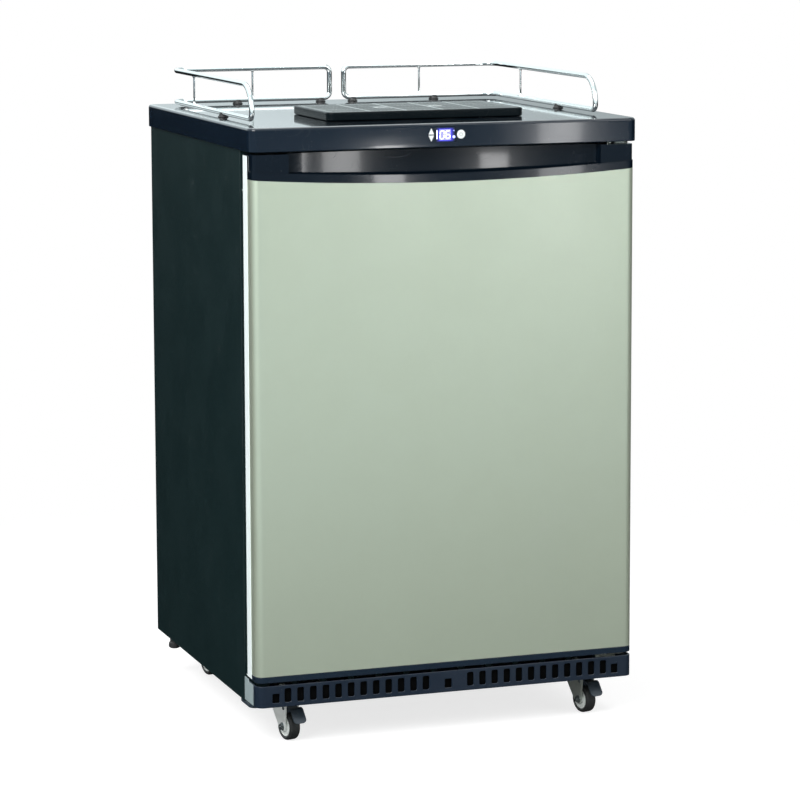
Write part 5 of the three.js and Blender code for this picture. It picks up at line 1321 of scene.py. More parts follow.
def makeCasterWheel(look, name, label, turn):
    radius, half, hub = look["radius"], look["halfWidth"], look["hub"]
    spin = turn @ Matrix.Translation((0, -look["trail"], radius)) @ Matrix.Rotation(math.pi / 2, 4, "Y")
    tread = [(hub - 0.0004, half - 0.0022), (hub, half - 0.0008), (hub + 0.0006, half - 0.0001),
             (radius - 0.0035, half), (radius - 0.0020, half - 0.0004), (radius - 0.0008, half - 0.0014),
             (radius - 0.0001, half - 0.0030), (radius, half - 0.0045)]
    turnedPiece("casterWheel" + label, tread + [(r, -z) for r, z in reversed(tread)] + [tread[0]], 72, spin,
                "rubberBlack", "wheel_" + name, ("caster_wheel_" + name,), 35.0)
    disc = [(look["axle"] + 0.0003, half - 0.0006), (0.0050, half - 0.0004), (0.0056, half - 0.0012),
            (0.0060, half - 0.0030), (0.0082, half - 0.0030), (0.0086, half - 0.0018),
            (0.0112, half - 0.0018), (0.0118, half - 0.0036), (0.0138, half - 0.0036),
            (0.0144, half - 0.0014), (hub - 0.0001, half - 0.0010), (hub - 0.0001, half - 0.0024)]
    # the hubs share the near-white zinc with its painted light
    turnedPiece("casterHub" + label, disc + [(r, -z) for r, z in reversed(disc)] + [disc[0]], 56, spin,
                "casterZincPaintedLight", "wheel_" + name, (), 35.0)
    bm = bmesh.new()  # the thin moulding line on each side wall
    for hand in (-1, 1):
        r, sunk, proud = tread[3][0] - 0.0009, hand * (half - 0.0003), hand * (half + 0.00015)
        turnedIn(bm, [(r - 0.0005, sunk), (r - 0.0003, proud), (r + 0.0003, proud), (r + 0.0005, sunk),
                      (r - 0.0005, sunk)], 72, spin)
    placed("casterTyreLine" + label, bm, "tyreLine", "wheel_" + name, (), 35.0)


def makeBrakePedal(look, pedal, name, label, turn):
    pivotY, pivotZ = -look["trail"] - look["pivotBack"], 2 * look["radius"] + look["pivotRise"]
    thick, half, shoeHalf = pick(pedal, "thick", "half", "shoe")
    route = [(pivotY - 0.0135, pivotZ + thick), (pivotY - 0.0175, pivotZ + thick - 0.0003),
             (pivotY - 0.0205, pivotZ + thick - 0.0020), (pivotY - 0.0325, pivotZ - 0.0175)]
    bm = bmesh.new()
    line = [bm.verts.new((-half, y, z)) for y, z in route]
    edges = [bm.edges.new(pair) for pair in zip(line, line[1:])]
    grown = bmesh.ops.extrude_edge_only(bm, edges=edges)["geom"]
    bmesh.ops.translate(bm, vec=(2 * half, 0, 0), verts=vertsOf(grown))
    tips = [vert for vert in bm.verts if abs(vert.co.y - route[-1][0]) < close]
    bmesh.ops.bevel(bm, geom=tips, offset=pedal["tip"], affect="VERTICES", segments=6, profile=0.5,
                    material=-1)
    bmesh.ops.recalc_face_normals(bm, faces=bm.faces)
    bmesh.ops.solidify(bm, geom=bm.faces, thickness=thick)
    neck = plainBlock((-look["halfWidth"] + 0.001, pivotY - 0.0165, pivotZ - 0.0002),
                      (look["halfWidth"] - 0.001, pivotY + 0.003, pivotZ + thick - 0.0002))
    rounded(neck, edgesWhere(neck, upright), 0.001, 3)
    pin = bmesh.new()
    rodIn(pin, (-look["legIn"] + 0.0003, pivotY, pivotZ), (look["legIn"] - 0.0003, pivotY, pivotZ),
          pedal["pin"], 24, 0.0003)
    shoe = plainBlock((-shoeHalf, pivotY - 0.004, 2 * look["radius"] + 0.0011),
                      (shoeHalf, pivotY + 0.004, pivotZ + 0.0004))
    rounded(shoe, edgesWhere(shoe, lambda a, b: abs(a.x - b.x) > 0.01 and a.z < pivotZ - 0.004), 0.0018, 4)
    whole = combined(bm, [neck, pin, shoe], "UNION")
    bmesh.ops.transform(whole, matrix=turn, verts=whole.verts)
    placed("brakeLever" + label, whole, "pedalBlack", "brake_" + name,
           ("brake_lever_" + name,), 32.0, 0.0004)


for end in ("front", "rear"):
    for sideName, hand in (("left", -1), ("right", 1)):
        name, label = end + "_" + sideName, end.capitalize() + sideName.capitalize()
        spot = Matrix.Translation((hand * casterLook["x"], casterLook[end], 0))
        turn = spot @ Matrix.Rotation(math.radians(casterLook["yaw"]), 4, "Z")
        makeCasterStem(casterLook, name, label, spot)
        makeCasterFork(casterLook, name, label, turn)
        makeCasterWheel(casterLook, name, label, turn)
        if end == "front":
            makeBrakePedal(casterLook, pedalLook, name, label, turn)
print("casters made")

# Inside the cabinet and the door
linerLook = {"side": 0.258, "floor": 0.1259, "head": 0.8579, "back": 0.2434, "stepFront": 0.1324,
             "stepTop": 0.2809, "corner": 0.0062, "sheet": 0.002, "ribHeights": (0.40, 0.54, 0.68),
             "ribDepth": 0.0018, "ribHigh": 0.007, "ribFront": -0.185, "ribBack": 0.205}
doorLinerLook = {"half": 0.25, "low": 0.1359, "high": 0.8359, "foot": -0.236, "crest": -0.214,
                 "pan": -0.252, "ridge": 0.024, "corner": 0.036, "sheet": 0.002, "soft": 0.005,
                 "bowl": 0.009}
gasketLook = {"half": (0.285, 0.3825), "middle": 0.4895, "section": [
    (0.0010, -0.2357), (0.0125, -0.2357), (0.0130, -0.2350), (0.0128, -0.2338), (0.0100, -0.2330),
    (0.0092, -0.2316), (0.0118, -0.2300), (0.0094, -0.2284), (0.0112, -0.2266), (0.0122, -0.2250),
    (0.0122, -0.2212), (0.0114, -0.2205), (0.0034, -0.2205), (0.0026, -0.2212), (0.0026, -0.2250),
    (0.0040, -0.2266), (0.0056, -0.2284), (0.0030, -0.2300), (0.0058, -0.2316), (0.0050, -0.2330),
    (0.0006, -0.2338), (0.0, -0.2350)]}
kegPlateLook = {"corner": 0.020, "rim": 0.003, "drop": 0.003, "rings": (0.070, 0.118), "ringWide": 0.004,
                "ringHigh": 0.0008, "stud": 0.005, "studs": 12, "studRing": 0.145}
coldPlateLook = {"corner": 0.015, "channel": 0.0022, "sunk": 0.0009, "passes": 9, "side": 0.165,
                 "inset": 0.045, "bend": 0.018, "screw": 0.0045}


def alongY(a, b):
    return abs(a.y - b.y) > 0.001 and abs(a.x - b.x) < close and abs(a.z - b.z) < close


def facingOnly(bm, wantedY):
    bmesh.ops.recalc_face_normals(bm, faces=bm.faces)
    widest = max(bm.faces, key=lambda face: abs(face.normal.y) * face.calc_area())
    if widest.normal.y * wantedY < 0:
        bmesh.ops.reverse_faces(bm, faces=bm.faces)


def flangeOut(bm, edges, grow, centre, shift):
    grown = bmesh.ops.extrude_edge_only(bm, edges=edges)["geom"]
    verts = ringEnds(grown)[0]
    bmesh.ops.scale(bm, vec=(grow[0], 1.0, grow[1]), verts=verts, space=Matrix.Translation((0, 0, -centre)))
    bmesh.ops.translate(bm, vec=(0, 0, shift), verts=verts)


def makeInnerLiner(look):
    low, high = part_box("inner_liner")
    front, side = low[1], look["side"]
    section = [(front, look["floor"]), (look["stepFront"], look["floor"]),
               (look["stepFront"], look["stepTop"]), (look["back"], look["stepTop"]),
               (look["back"], look["head"]), (front, look["head"])]
    bm = bmesh.new()
    outlineIn(bm, [(-side, y, z) for y, z in section], (2 * side, 0, 0))
    inside = edgesOf(bm.verts, lambda a, b: a.y > front + close or b.y > front + close)
    rounded(bm, inside, look["corner"], 6)
    mouth = [face for face in bm.faces if all(vert.co.y < front + close for vert in face.verts)]
    bmesh.ops.delete(bm, geom=mouth, context="FACES_ONLY")
    centre = (look["floor"] + look["head"]) / 2
    grow = (high[0] / side, (high[2] - low[2]) / (look["head"] - look["floor"]))
    flangeOut(bm, [edge for edge in bm.edges if edge.is_boundary], grow, centre,
              (low[2] + high[2]) / 2 - centre)
    facingOnly(bm, -1)
    placed("innerLiner", bm, "linerWhite", "cabinet", ("inner_liner",), 40.0, None,
           look["sheet"])
    bm = bmesh.new()
    for hand in (-1, 1):
        for z in look["ribHeights"]:
            ends = mirrored(hand, side - look["ribDepth"], side + 0.0005)
            verts = blockIn(bm, (ends[0], look["ribFront"], z),
                            (ends[1], look["ribBack"], z + look["ribHigh"]))
            face = edgesOf(verts, lambda a, b: abs(a.x) < side - close and abs(b.x) < side - close)
            rounded(bm, face, look["ribDepth"] * 0.8, 4)
    placed("innerLinerRibs", bm, "linerWhite", "cabinet", (), 40.0)


def makeDoorLiner(look):
    low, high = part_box("door_inner_liner")
    half, foot, crest = look["half"], look["foot"], look["crest"]
    bm = plainBlock((-half, foot, look["low"]), (half, crest, look["high"]))
    rounded(bm, edgesOf(bm.verts, alongY), look["corner"], 8)
    bm.normal_update()
    rear = [face for face in bm.faces if face.normal.y < -0.9]
    bmesh.ops.delete(bm, geom=rear, context="FACES_ONLY")
    sinkFace(bm, 1, look["ridge"], (0, look["pan"] - crest, 0))
    bases = [edge for edge in bm.edges if edge.is_boundary]
    centre = (look["low"] + look["high"]) / 2
    grow = (high[0] / half, (high[2] - low[2]) / (look["high"] - look["low"]))
    flangeOut(bm, bases, grow, centre, (low[2] + high[2]) / 2 - centre)
    ring = [edge for edge in bm.edges if not edge.is_boundary
            and all(abs(vert.co.y - crest) < close for vert in edge.verts)
            and any(abs(face.normal.y) < 0.5 for face in edge.link_faces)]
    rounded(bm, ring, look["soft"], 5)
    bottom = edgesWhere(bm, lambda a, b: max(abs(a.y - look["pan"]), abs(b.y - look["pan"])) < close)
    rounded(bm, bottom, look["bowl"], 6)
    facingOnly(bm, 1)
    placed("doorInnerLiner", bm, "linerWhite", "door", ("door_inner_liner",), 40.0,
           None, look["sheet"])


def mitredRing(bm, half, centre, section):  # a section taken round a rectangle, with mitred corners
    inset, y = section[0]
    corners = [(u * (half[0] - inset), y, centre + v * (half[1] - inset))
               for u, v in ((-1, -1), (1, -1), (1, 1), (-1, 1))]
    line = [bm.verts.new(corner) for corner in corners]
    edges = [bm.edges.new(pair) for pair in zip(line, line[1:] + line[:1])]
    space = Matrix.Translation((0, 0, -centre))
    for here, there in zip(section, section[1:] + section[:1]):
        grown = bmesh.ops.extrude_edge_only(bm, edges=edges)["geom"]
        verts, edges = ringEnds(grown)
        grow = [(size - there[0]) / (size - here[0]) for size in half]
        bmesh.ops.scale(bm, vec=(grow[0], 1.0, grow[1]), verts=verts, space=space)
        bmesh.ops.translate(bm, vec=(0, there[1] - here[1], 0), verts=verts)


def makeGasket(look):
    bm = bmesh.new()
    mitredRing(bm, look["half"], look["middle"], look["section"])
    placed("doorGasket", bm, "gasketGrey", "door", ("door_gasket",), 50.0)


def makeKegPlate(look):
    low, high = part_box("keg_plate")
    bm = roundedBlock(low, high, look["corner"], look["corner"], 10)
    sinkFace(bm, 2, look["rim"], (0, 0, -look["drop"]))
    placed("kegPlate", bm, "brushedSteel", "keg_plate", ("keg_plate",), 32.0, 0.0006)
    floor, middle = high[2] - look["drop"], (low[1] + high[1]) / 2
    bm = bmesh.new()
    wide, rise = look["ringWide"], look["ringHigh"]
    for radius in look["rings"]:
        bead = [(radius - wide, -rise), (radius - wide * 0.7, rise * 0.5), (radius, rise),
                (radius + wide * 0.7, rise * 0.5), (radius + wide, -rise), (radius - wide, -rise)]
        turnedIn(bm, bead, 96, Matrix.Translation((0, middle, floor)))
    for step in range(look["studs"]):
        angle = (step + 0.5) * 2 * math.pi / look["studs"]
        spot = (look["studRing"] * math.cos(angle), middle + look["studRing"] * math.sin(angle), floor)
        stud = [(0, rise), (look["stud"] * 0.6, rise * 0.9), (look["stud"], -rise), (0, -rise)]
        turnedIn(bm, stud, 24, Matrix.Translation(spot))
    placed("kegPlateBeads", bm, "brushedSteel", "keg_plate", (), 50.0)


def makeColdPlate(look):
    low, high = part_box("evaporator_plate")
    bm = plainBlock(low, high)
    rounded(bm, edgesOf(bm.verts, alongY), look["corner"], 8)
    placed("evaporatorPlate", bm, "pressedAlloy", "cabinet", ("evaporator_plate",),
           32.0, 0.0008)
    y, side = low[1] + look["sunk"], look["side"]
    first, last = low[2] + look["inset"], high[2] - look["inset"]
    route = [(side, y, low[2] + 0.012)]
    for step in range(look["passes"]):
        z = first + (last - first) * step / (look["passes"] - 1)
        ends = (side, -side) if step % 2 == 0 else (-side, side)
        route += [(ends[0], y, z, look["bend"]), (ends[1], y, z, look["bend"])]
    route.append((route[-1][0], y, high[2] - 0.012))
    bm = bmesh.new()
    tubeIn(bm, route, look["channel"], 14, 8)
    placed("evaporatorChannel", bm, "pressedAlloy", "cabinet", (), 50.0)
    bm = bmesh.new()
    for x in (low[0] + 0.02, high[0] - 0.02):
        for z in (low[2] + 0.02, high[2] - 0.02):
            screwIn(bm, (x, low[1], z), (0, -1, 0), look["screw"])
    placed("evaporatorScrews", bm, "zinc", "cabinet", (), 40.0)


def makeLinePort():
    centre = Matrix.Translation((0.0, worktopLook["boreY"], 0))
    profile = [(0.0275, 0.8579), (0.0296, 0.8579), (0.0300, 0.8584), (0.0300, 0.9163), (0.0372, 0.9163),
               (0.0380, 0.9166), (0.0380, 0.9170), (0.0374, 0.9175), (0.0281, 0.9175), (0.0275, 0.9169),
               (0.0275, 0.8579)]
    turnedPiece("beerLineSleeve", profile, 72, centre, "nylonWhite", "cabinet",
                ("beer_line_sleeve",))
    cap = [(0.0247, 0.9078), (0.0268, 0.9078), (0.0272, 0.9084), (0.0272, 0.9178), (0.0374, 0.9178),
           (0.0380, 0.9182), (0.0378, 0.9190), (0.0368, 0.9196), (0.0330, 0.9196), (0.0322, 0.9191),
           (0.0306, 0.9191), (0.0298, 0.9196), (0, 0.9196), (0, 0.9178), (0.0247, 0.9178), (0.0247, 0.9078)]
    turnedPiece("beerLineCap", cap, 72, centre, "rubberBlack", "beer_line_cap",
                ("beer_line_cap",))


makeInnerLiner(linerLook)
makeDoorLiner(doorLinerLook)
makeGasket(gasketLook)
makeKegPlate(kegPlateLook)
makeColdPlate(coldPlateLook)
makeLinePort()
print("inside of cabinet and door made")

# Hinges
hingeLook = {"x": 0.282, "y": -0.258, "pin": 0.004, "arm": 0.013, "left": 0.263, "right": 0.295,
             "plateFront": -0.2235, "back": -0.2205, "thick": 0.003, "screw": 0.0034,
             "bushOuter": 0.0073, "bushInner": 0.0043}
topHingeLook = {"arm": 0.8775, "plate": (0.8775, 0.9045), "pin": (0.8630, 0.8778),
                "screws": (0.8875, 0.8985), "bush": (0.8627, 0.8770)}
bottomHingeLook = {"arm": 0.0980, "plate": (0.0700, 0.1010), "pin": (0.1007, 0.1160),
                   "screws": (0.0775, 0.0885), "bush": (0.1020, 0.1163)}


def makeHinge(name, node, look, heights):
    x, y, thick = pick(look, "x", "y", "thick")
    armLow, plate, pin = pick(heights, "arm", "plate", "pin")
    arm = plainBlock((look["left"], y, armLow), (look["right"], look["back"], armLow + thick))
    end = bmesh.new()
    rodIn(end, (x, y, armLow), (x, y, armLow + thick), look["arm"], 40)
    wall = plainBlock((look["left"], look["plateFront"], plate[0]), (look["right"], look["back"], plate[1]))
    hangs = plate[0] < armLow
    tip = plate[0] if hangs else plate[1]
    corners = edgesOf(wall.verts, lambda a, b: abs(a.y - b.y) > 0.001
                      and max(abs(a.z - tip), abs(b.z - tip)) < close)
    rounded(wall, corners, 0.005, 6)
    bm = combined(arm, [end, wall], "UNION")
    rodIn(bm, (x, y, pin[0]), (x, y, pin[1]), look["pin"], 32, 0.0006)
    turnedIn(bm, [(0, -0.0002), (0.0062, -0.0002), (0.0060, 0.0003), (0.0040, 0.0005), (0, 0.0005)], 28,
             facing((x, y, armLow + (0 if hangs else thick)), (0, 0, -1 if hangs else 1)))
    for z in heights["screws"]:
        screwIn(bm, ((look["left"] + look["right"]) / 2, look["plateFront"], z), (0, -1, 0), look["screw"])
    placed(name, bm, "zinc", "cabinet", (node,), 32.0, 0.0004)


def makeBush(name, node, look, low, high):
    outer, inner = look["bushOuter"], look["bushInner"]
    rim = 0.0005
    profile = [(inner, low + rim), (inner + rim, low), (outer - rim, low), (outer, low + rim),
               (outer, high - rim), (outer - rim, high), (inner + rim, high), (inner, high - rim),
               (inner, low + rim)]
    turnedPiece(name, profile, 40, Matrix.Translation((look["x"], look["y"], 0)), "nylonWhite", "door",
                (node,))


makeHinge("topHinge", "top_hinge", hingeLook, topHingeLook)
makeHinge("bottomHinge", "bottom_hinge", hingeLook, bottomHingeLook)
makeBush("topHingeBush", "top_hinge_bush", hingeLook, *topHingeLook["bush"])
makeBush("bottomHingeBush", "bottom_hinge_bush", hingeLook, *bottomHingeLook["bush"])
print("hinges made")

# Back of the cabinet
backLook = {"screw": 0.0042, "inset": 0.012, "beads": (-0.18, 0.0, 0.18), "beadRadius": 0.006,
            "beadSunk": 0.0042, "beadInset": 0.07, "columns": 4, "rows": 7, "slotWide": 0.090,
            "slotHigh": 0.005, "pitch": 0.015, "columnPitch": 0.120, "firstSlot": 0.1186,
            "hoodOut": 0.0032, "hoodWall": 0.0008, "hoodHigh": 0.0066, "glandX": -0.235, "glandY": 0.279,
            "glandZ": 0.0966, "glandHole": 0.0073}


def screwRow(bm, low, high, y, inset, across, up):
    for i in range(across):
        x = low[0] + inset + i * (high[0] - low[0] - 2 * inset) / (across - 1)
        for z in (low[2] + inset, high[2] - inset):
            screwIn(bm, (x, y, z), (0, 1, 0), backLook["screw"])
    for i in range(1, up):
        z = low[2] + inset + i * (high[2] - low[2] - 2 * inset) / up
        for x in (low[0] + inset, high[0] - inset):
            screwIn(bm, (x, y, z), (0, 1, 0), backLook["screw"])


def makeBackPanel(look):
    low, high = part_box("back_panel")
    bm = plainBlock(low, high)
    for x in look["beads"]:
        rodIn(bm, (x, high[1] - look["beadSunk"], low[2] + look["beadInset"]),
              (x, high[1] - look["beadSunk"], high[2] - look["beadInset"]), look["beadRadius"], 32,
              look["beadRadius"] * 0.5)
    placed("backPanel", bm, "galvanised", "cabinet", ("back_panel",), 32.0, 0.0003)
    bm = bmesh.new()
    screwRow(bm, low, high, high[1], look["inset"], 4, 4)
    placed("backPanelScrews", bm, "zinc", "cabinet", (), 40.0)


def hoodIn(bm, x, z, y, look):
    out, wall, high = look["hoodOut"], look["hoodWall"], look["hoodHigh"]
    angles = [i * math.pi / 12 for i in range(7)]
    outer = [(out * math.sin(angle), high * math.cos(angle)) for angle in angles]
    inner = [((out - wall) * math.sin(angle), (high - wall) * math.cos(angle)) for angle in reversed(angles)]
    left, wide = x - look["slotWide"] / 2 - 0.002, look["slotWide"] + 0.004
    outlineIn(bm, [(left, y + v, z + w) for v, w in outer + inner], (wide, 0, 0))
    for start in (left, left + wide - wall):
        fan = [(start, y, z)] + [(start, y + v * 0.99, z + w * 0.99) for v, w in outer]
        outlineIn(bm, fan, (wall, 0, 0))


def makeCompressorCover(look):
    low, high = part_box("compressor_cover")
    slots, hoods = bmesh.new(), bmesh.new()
    for column in range(look["columns"]):
        x = (column - (look["columns"] - 1) / 2) * look["columnPitch"]
        for row in range(look["rows"]):
            z = look["firstSlot"] + row * look["pitch"]
            half, tall = look["slotWide"] / 2, look["slotHigh"] / 2
            blockIn(slots, (x - half, low[1] - 0.001, z - tall), (x + half, high[1] + 0.001, z + tall))
            hoodIn(hoods, x, z - tall * 0.6, high[1] - 0.0003, look)
    hole = bmesh.new()
    spot = (look["glandX"], low[1] - 0.001, look["glandZ"])
    rodIn(hole, spot, (spot[0], high[1] + 0.001, spot[2]), look["glandHole"], 40)
    placed("compressorCover", combined(plainBlock(low, high), [slots, hole]), "galvanised", "cabinet",
           ("compressor_cover",), 32.0)
    placed("compressorCoverHoods", hoods, "galvanised", "cabinet", (), 40.0)
    bm = bmesh.new()
    screwRow(bm, low, high, high[1], look["inset"] * 0.75, 5, 2)
    placed("compressorCoverScrews", bm, "zinc", "cabinet", (), 40.0)


def makeCordGland(look):
    profile = [(0.0040, -0.0120), (0.0062, -0.0120), (0.0070, -0.0112), (0.0070, -0.0080),
               (0.0064, -0.0074), (0.0064, -0.0060), (0.0070, -0.0054), (0.0070, 0.0003),
               (0.0104, 0.0003), (0.0110, 0.0009), (0.0106, 0.0020), (0.0092, 0.0027), (0.0058, 0.0027),
               (0.0052, 0.0023), (0.0040, 0.0023), (0.0040, -0.0120)]
    hole = (look["glandX"], look["glandY"], look["glandZ"])
    turnedPiece("cordGland", profile, 48, facing(hole, (0, 1, 0)), "rubberBlack", "cabinet",
                ("cord_gland",), 35.0)


makeBackPanel(backLook)
makeCompressorCover(backLook)
makeCordGland(backLook)
print("back of cabinet made")

# Cooling unit in its bay
shellLook = {"x": 0.125, "y": 0.217, "low": 0.0746, "high": 0.2166, "depth": 0.052,
             "stretch": 0.075 / 0.052, "edge": 0.024, "seam": 0.1400, "seamOut": 0.0015,
             "footLow": 0.0746, "footHigh": 0.0776, "footX": 0.090, "footY": 0.050, "mount": 0.0068,
             "mountInset": 0.014, "ground": 0.0666, "stubX": -0.030, "stubDrop": 0.032, "stubs": (
                 (0.0, 0.040, 0.050, 0.0, 0.0032), (-0.020, 0.036, 0.050, 0.02, 0.0024),
                 (0.035, 0.040, 0.0515, 0.01, 0.0032))}
relayLook = {"inner": 0.059, "outer": 0.091, "half": 0.022, "low": 0.1226, "high": 0.1686}
coilLook = {"left": -0.230, "right": -0.070, "y": 0.217, "row": 0.026, "low": 0.0906, "pitch": 0.026,
            "passes": 5, "tube": 0.003, "wire": 0.0007, "wires": 22, "foot": 0.0666, "plate": 0.0015}
fanLook = {"x": -0.030, "depth": 0.025, "y": 0.217, "z": 0.1126, "half": 0.046, "bore": 0.042,
           "hub": 0.015, "corner": 0.006, "strut": 0.003, "boss": 0.010, "screw": 0.0022,
           "screwAt": 0.0385, "reach": 0.0375, "blades": 5, "blade": 0.0016, "chord": 0.018,
           "from": 0.0024, "to": 0.0146, "shaft": 0.0024}


fourCorners = ((-1, -1), (-1, 1), (1, -1), (1, 1))
panLook = {"corner": 0.012, "wall": 0.002, "taper": (0.985, 0.975, 1.0)}
boardLook = {"thick": 0.0016, "plug": 0.0021, "plugHigh": 0.0022,
             "chips": ((-0.034, 0.9035, 0.014, 0.010, 0.0045), (-0.014, 0.8895, 0.016, 0.007, 0.0020),
                       (0.034, 0.8990, 0.012, 0.018, 0.0055), (0.006, 0.8880, 0.006, 0.004, 0.0016)),
             "plugs": ((-0.0253, 0.9045), (-0.0253, 0.8935), (0.021, 0.899), (-0.042, 0.888),
                       (0.042, 0.886))}


def makeCompressor(look, relay):
    steps = 8
    edge, low, high, half = look["edge"], look["low"] + 0.001, look["high"], look["depth"]
    profile = [(0, low)] + arcPoints(half - edge, low + edge, edge, -90, 90, steps)
    seam, out = look["seam"], look["seamOut"]
    profile += [(half, seam - 0.004), (half + out * 0.4, seam - 0.003), (half, seam - 0.0022),
                (half, seam), (half - 0.001, seam + 0.0006)]
    profile += arcPoints(half - 0.001 - edge, high - edge, edge, 0, 90, steps) + [(0, high)]
    bm = bmesh.new()
    turnedIn(bm, profile, 72, Matrix.Translation((look["x"], look["y"], 0))
             @ Matrix.Diagonal((look["stretch"], 1, 1, 1)))
    verts = blockIn(bm, (look["x"] - look["footX"], look["y"] - look["footY"], look["footLow"]),
                    (look["x"] + look["footX"], look["y"] + look["footY"], look["footHigh"]))
    rounded(bm, edgesOf(verts, upright), 0.012, 8)
    verts = blockIn(bm, (look["x"] + relay["inner"], look["y"] - relay["half"], relay["low"]),
                    (look["x"] + relay["outer"], look["y"] + relay["half"], relay["high"]))
    rounded(bm, edgesOf(verts, anyEdge), 0.003, 3)
    placed("compressorShell", bm, "enamelBlack", "cabinet", ("compressor",), 35.0, 0.0006)
    bm = bmesh.new()
    radius, ground, top = look["mount"], look["ground"], look["footHigh"]
    grommet = [(0, ground), (radius, ground), (radius, ground + 0.0025), (radius * 0.8, ground + 0.0038),
               (radius, ground + 0.0052), (radius, top + 0.0012), (radius * 0.7, top + 0.0029),
               (0, top + 0.0029)]
    for u, v in fourCorners:
        spot = (look["x"] + u * (look["footX"] - look["mountInset"]),
                look["y"] + v * (look["footY"] - look["mountInset"]), 0)
        turnedIn(bm, grommet, 28, Matrix.Translation(spot))
    placed("compressorMounts", bm, "rubberBlack", "cabinet", (), 40.0)
    bm = bmesh.new()
    x, y, z = look["x"] + look["stubX"], look["y"], look["high"] - look["stubDrop"]
    for aside, start, end, drop, radius in look["stubs"]:
        tubeIn(bm, [(x + aside, y - start, z - drop), (x + aside, y - end, z - drop)], radius, 16)
    placed("compressorStubs", bm, "copper", "cabinet", (), 40.0)


def makeCondenser(look):
    corners = []
    bend = look["pitch"] / 2
    rows = [(look["y"] - look["row"], i, i % 2 == 0) for i in range(look["passes"])]
    rows += [(look["y"] + look["row"], i, i % 2 == 1) for i in reversed(range(look["passes"]))]
    for y, level, leftwards in rows:
        z = look["low"] + level * look["pitch"]
        ends = (look["right"], look["left"]) if leftwards else (look["left"], look["right"])
        corners += [(ends[0], y, z, bend), (ends[1], y, z, bend)]
    bm = bmesh.new()
    tubeIn(bm, corners, look["tube"], 16, 8)
    placed("condenserCoil", bm, "copper", "cabinet", ("condenser_coil",), 40.0)
    low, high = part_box("condenser_coil")
    bm = bmesh.new()
    for x in (look["left"] + look["pitch"], look["right"] - look["pitch"]):
        verts = blockIn(bm, (x - look["plate"] / 2, low[1], look["foot"]),
                        (x + look["plate"] / 2, high[1], high[2]))
        rounded(bm, edgesOf(verts, along(0, 0.0005)), 0.005, 5)
    placed("condenserPlates", bm, "galvanised", "cabinet", (), 32.0, 0.0002)
    bm = bmesh.new()
    foot, head = look["low"] - 0.006, look["low"] + (look["passes"] - 1) * look["pitch"] + 0.006
    gap = look["tube"] + look["wire"]
    for i in range(look["wires"]):
        x = look["left"] + 0.014 + i * (look["right"] - look["left"] - 0.028) / (look["wires"] - 1)
        for y in (look["y"] - look["row"] - gap, look["y"] + look["row"] + gap):
            rodIn(bm, (x, y, foot), (x, y, head), look["wire"], 8)
    placed("condenserWires", bm, "enamelBlack", "cabinet", (), 40.0)


def makeDrier():
    low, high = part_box("filter_drier")
    x, y = (low[0] + high[0]) / 2, (low[1] + high[1]) / 2
    half, neck, bottom, top = (high[0] - low[0]) / 2, 0.003, low[2], high[2]
    profile = [(0, bottom), (neck, bottom), (neck, bottom + 0.013), (half * 0.6, bottom + 0.017),
               (half * 0.94, bottom + 0.024), (half, bottom + 0.029), (half, top - 0.029),
               (half * 0.94, top - 0.024), (half * 0.6, top - 0.017), (neck, top - 0.013), (neck, top),
               (0, top)]
    turnedPiece("filterDrier", profile, 40, Matrix.Translation((x, y, 0)), "copper", "cabinet",
                ("filter_drier",), 45.0)


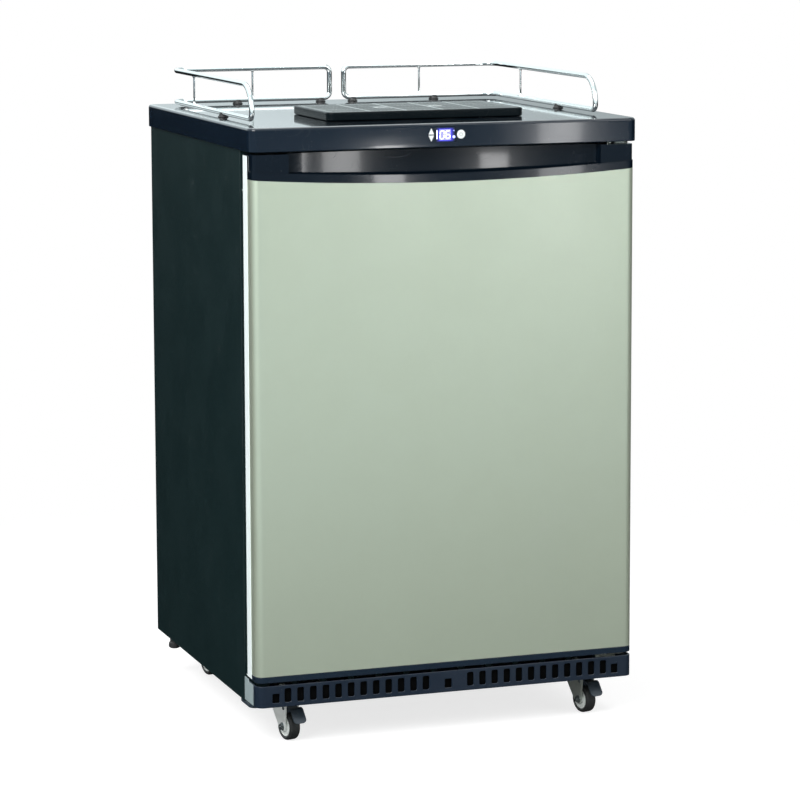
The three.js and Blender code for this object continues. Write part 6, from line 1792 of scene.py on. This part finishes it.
def makeFan(look):
    x, y, z, half, depth = pick(look, "x", "y", "z", "half", "depth")
    frameBlock = plainBlock((x, y - half, z - half), (x + depth, y + half, z + half))
    rounded(frameBlock, edgesOf(frameBlock.verts, along(0, 0.01)), look["corner"], 6)
    bore = bmesh.new()
    rodIn(bore, (x - 0.001, y, z), (x + depth + 0.001, y, z), look["bore"], 64)
    holes = bmesh.new()
    for u, v in fourCorners:
        spot = (y + u * look["screwAt"], z + v * look["screwAt"])
        rodIn(holes, (x - 0.001, *spot), (x + depth + 0.001, *spot), look["screw"], 20)
    bm = combined(frameBlock, [bore, holes])
    back, strut, boss = x + depth, look["strut"], look["boss"]
    rodIn(bm, (back - boss, y, z), (back, y, z), look["hub"], 48, 0.0008)
    reach = look["bore"] + 0.001
    for turn in range(4):  # struts a little off the centre line, as on a real guard
        angle = turn * math.pi / 2 + 0.5
        verts = blockIn(bm, (back - boss / 2, -strut / 2, 0.012), (back, strut / 2, reach))
        matrix = Matrix.Translation((0, y, z)) @ Matrix.Rotation(angle, 4, "X")
        bmesh.ops.transform(bm, matrix=matrix, verts=verts)
    rodIn(bm, (x + 0.005, y, z), (back - boss / 2, y, z), 0.002, 20)
    placed("condenserFanFrame", bm, "enamelBlack", "cabinet", ("condenser_fan_frame",),
           35.0, 0.0004)
    bm = bmesh.new()
    start, thick = x + look["from"], look["to"] - look["from"]
    hub = [(look["shaft"], thick), (look["hub"] - 0.001, thick), (look["hub"], thick - 0.001),
           (look["hub"], 0.002), (look["hub"] - 0.002, 0), (0, 0)]
    turnedIn(bm, hub, 48, facing((start, y, z), (1, 0, 0)))
    for blade in range(look["blades"]):
        leaf = bmesh.ops.create_grid(bm, x_segments=6, y_segments=8, size=0.5)["verts"]
        length = look["reach"] - look["hub"] + 0.001
        for vert in leaf:
            u, v = vert.co.x, vert.co.y + 0.5
            wide = look["chord"] * (0.75 + 0.55 * v)
            pitch = math.radians(52 - 24 * v)
            camber = 0.0018 * (1 - 4 * u * u)
            vert.co = (start + thick / 2 + u * wide * math.cos(pitch) * 0.62 - camber,
                       u * wide * math.sin(pitch), look["hub"] - 0.001 + v * length)
        faces = {face for vert in leaf for face in vert.link_faces}
        made = bmesh.ops.solidify(bm, geom=list(faces), thickness=look["blade"])["geom"]
        grown = set(vertsOf(made)) | set(leaf)
        spin = Matrix.Translation((0, y, z)) @ Matrix.Rotation(blade * 2 * math.pi / look["blades"], 4, "X")
        bmesh.ops.transform(bm, matrix=spin, verts=list(grown))
    placed("condenserFanRotor", bm, "enamelBlack", "fan_rotor", ("condenser_fan_rotor",), 40.0)


def makeDrainPan(look):
    low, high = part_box("drain_pan")
    bm = roundedBlock(low, high, look["corner"], look["corner"], 8)
    bmesh.ops.scale(bm, vec=look["taper"],
                    space=Matrix.Translation((-(low[0] + high[0]) / 2, -(low[1] + high[1]) / 2, 0)),
                    verts=[vert for vert in bm.verts if vert.co.z < low[2] + close])
    sinkFace(bm, 2, look["wall"], (0, 0, look["wall"] + low[2] - high[2]))
    placed("drainPan", bm, "nylonWhite", "cabinet", ("drain_pan",), 32.0, 0.0006)


def makeControlBoard(look):
    low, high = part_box("control_board")
    face = high[1] - look["thick"]
    bm = plainBlock((low[0], face, low[2]), high)
    rounded(bm, edgesOf(bm.verts, alongY), 0.002, 4)
    placed("controlBoard", bm, "boardGreen", "cabinet", ("control_board",), 32.0, 0.0002)
    bm = bmesh.new()
    for x, z, wide, tall, deep in look["chips"]:
        verts = blockIn(bm, (x - wide / 2, face - deep, z - tall / 2),
                        (x + wide / 2, face + 0.0002, z + tall / 2))
        rounded(bm, edgesOf(verts, anyEdge), 0.0003, 2)
    for x, z in look["plugs"]:
        rodIn(bm, (x, face + 0.0002, z), (x, face - look["plugHigh"], z), look["plug"], 24, 0.0002)
    placed("controlBoardParts", bm, "pedalBlack", "cabinet", (), 32.0)


makeCompressor(shellLook, relayLook)
makeCondenser(coilLook)
makeDrier()
makeFan(fanLook)
makeDrainPan(panLook)
makeControlBoard(boardLook)
print("cooling unit and board made")

# Folded sheet and filling that keep the CAD shape, merged and bevelled
for node, name, finish, slotName, width in (
        ("cabinet_wrap", "cabinetWrap", "cabinetPaint", "cabinet_black", 0.0005),
        ("insulation_foam", "cabinetFoam", "foamYellow", "insulation", 0.0006),
        ("underbody_panel", "underbodyPanel", "galvanised", "galvanised", 0.0003),
        ("base_pan", "basePan", "galvanised", "galvanised", 0.0003),
        ("front_cross_rail", "frontCrossRail", "cabinetPaint", "cabinet_black", 0.0003),
        ("door_foam", "doorFoam", "foamYellow", "insulation", 0.0006)):
    dressed(node, name, finish, width)
print("plain copies made")
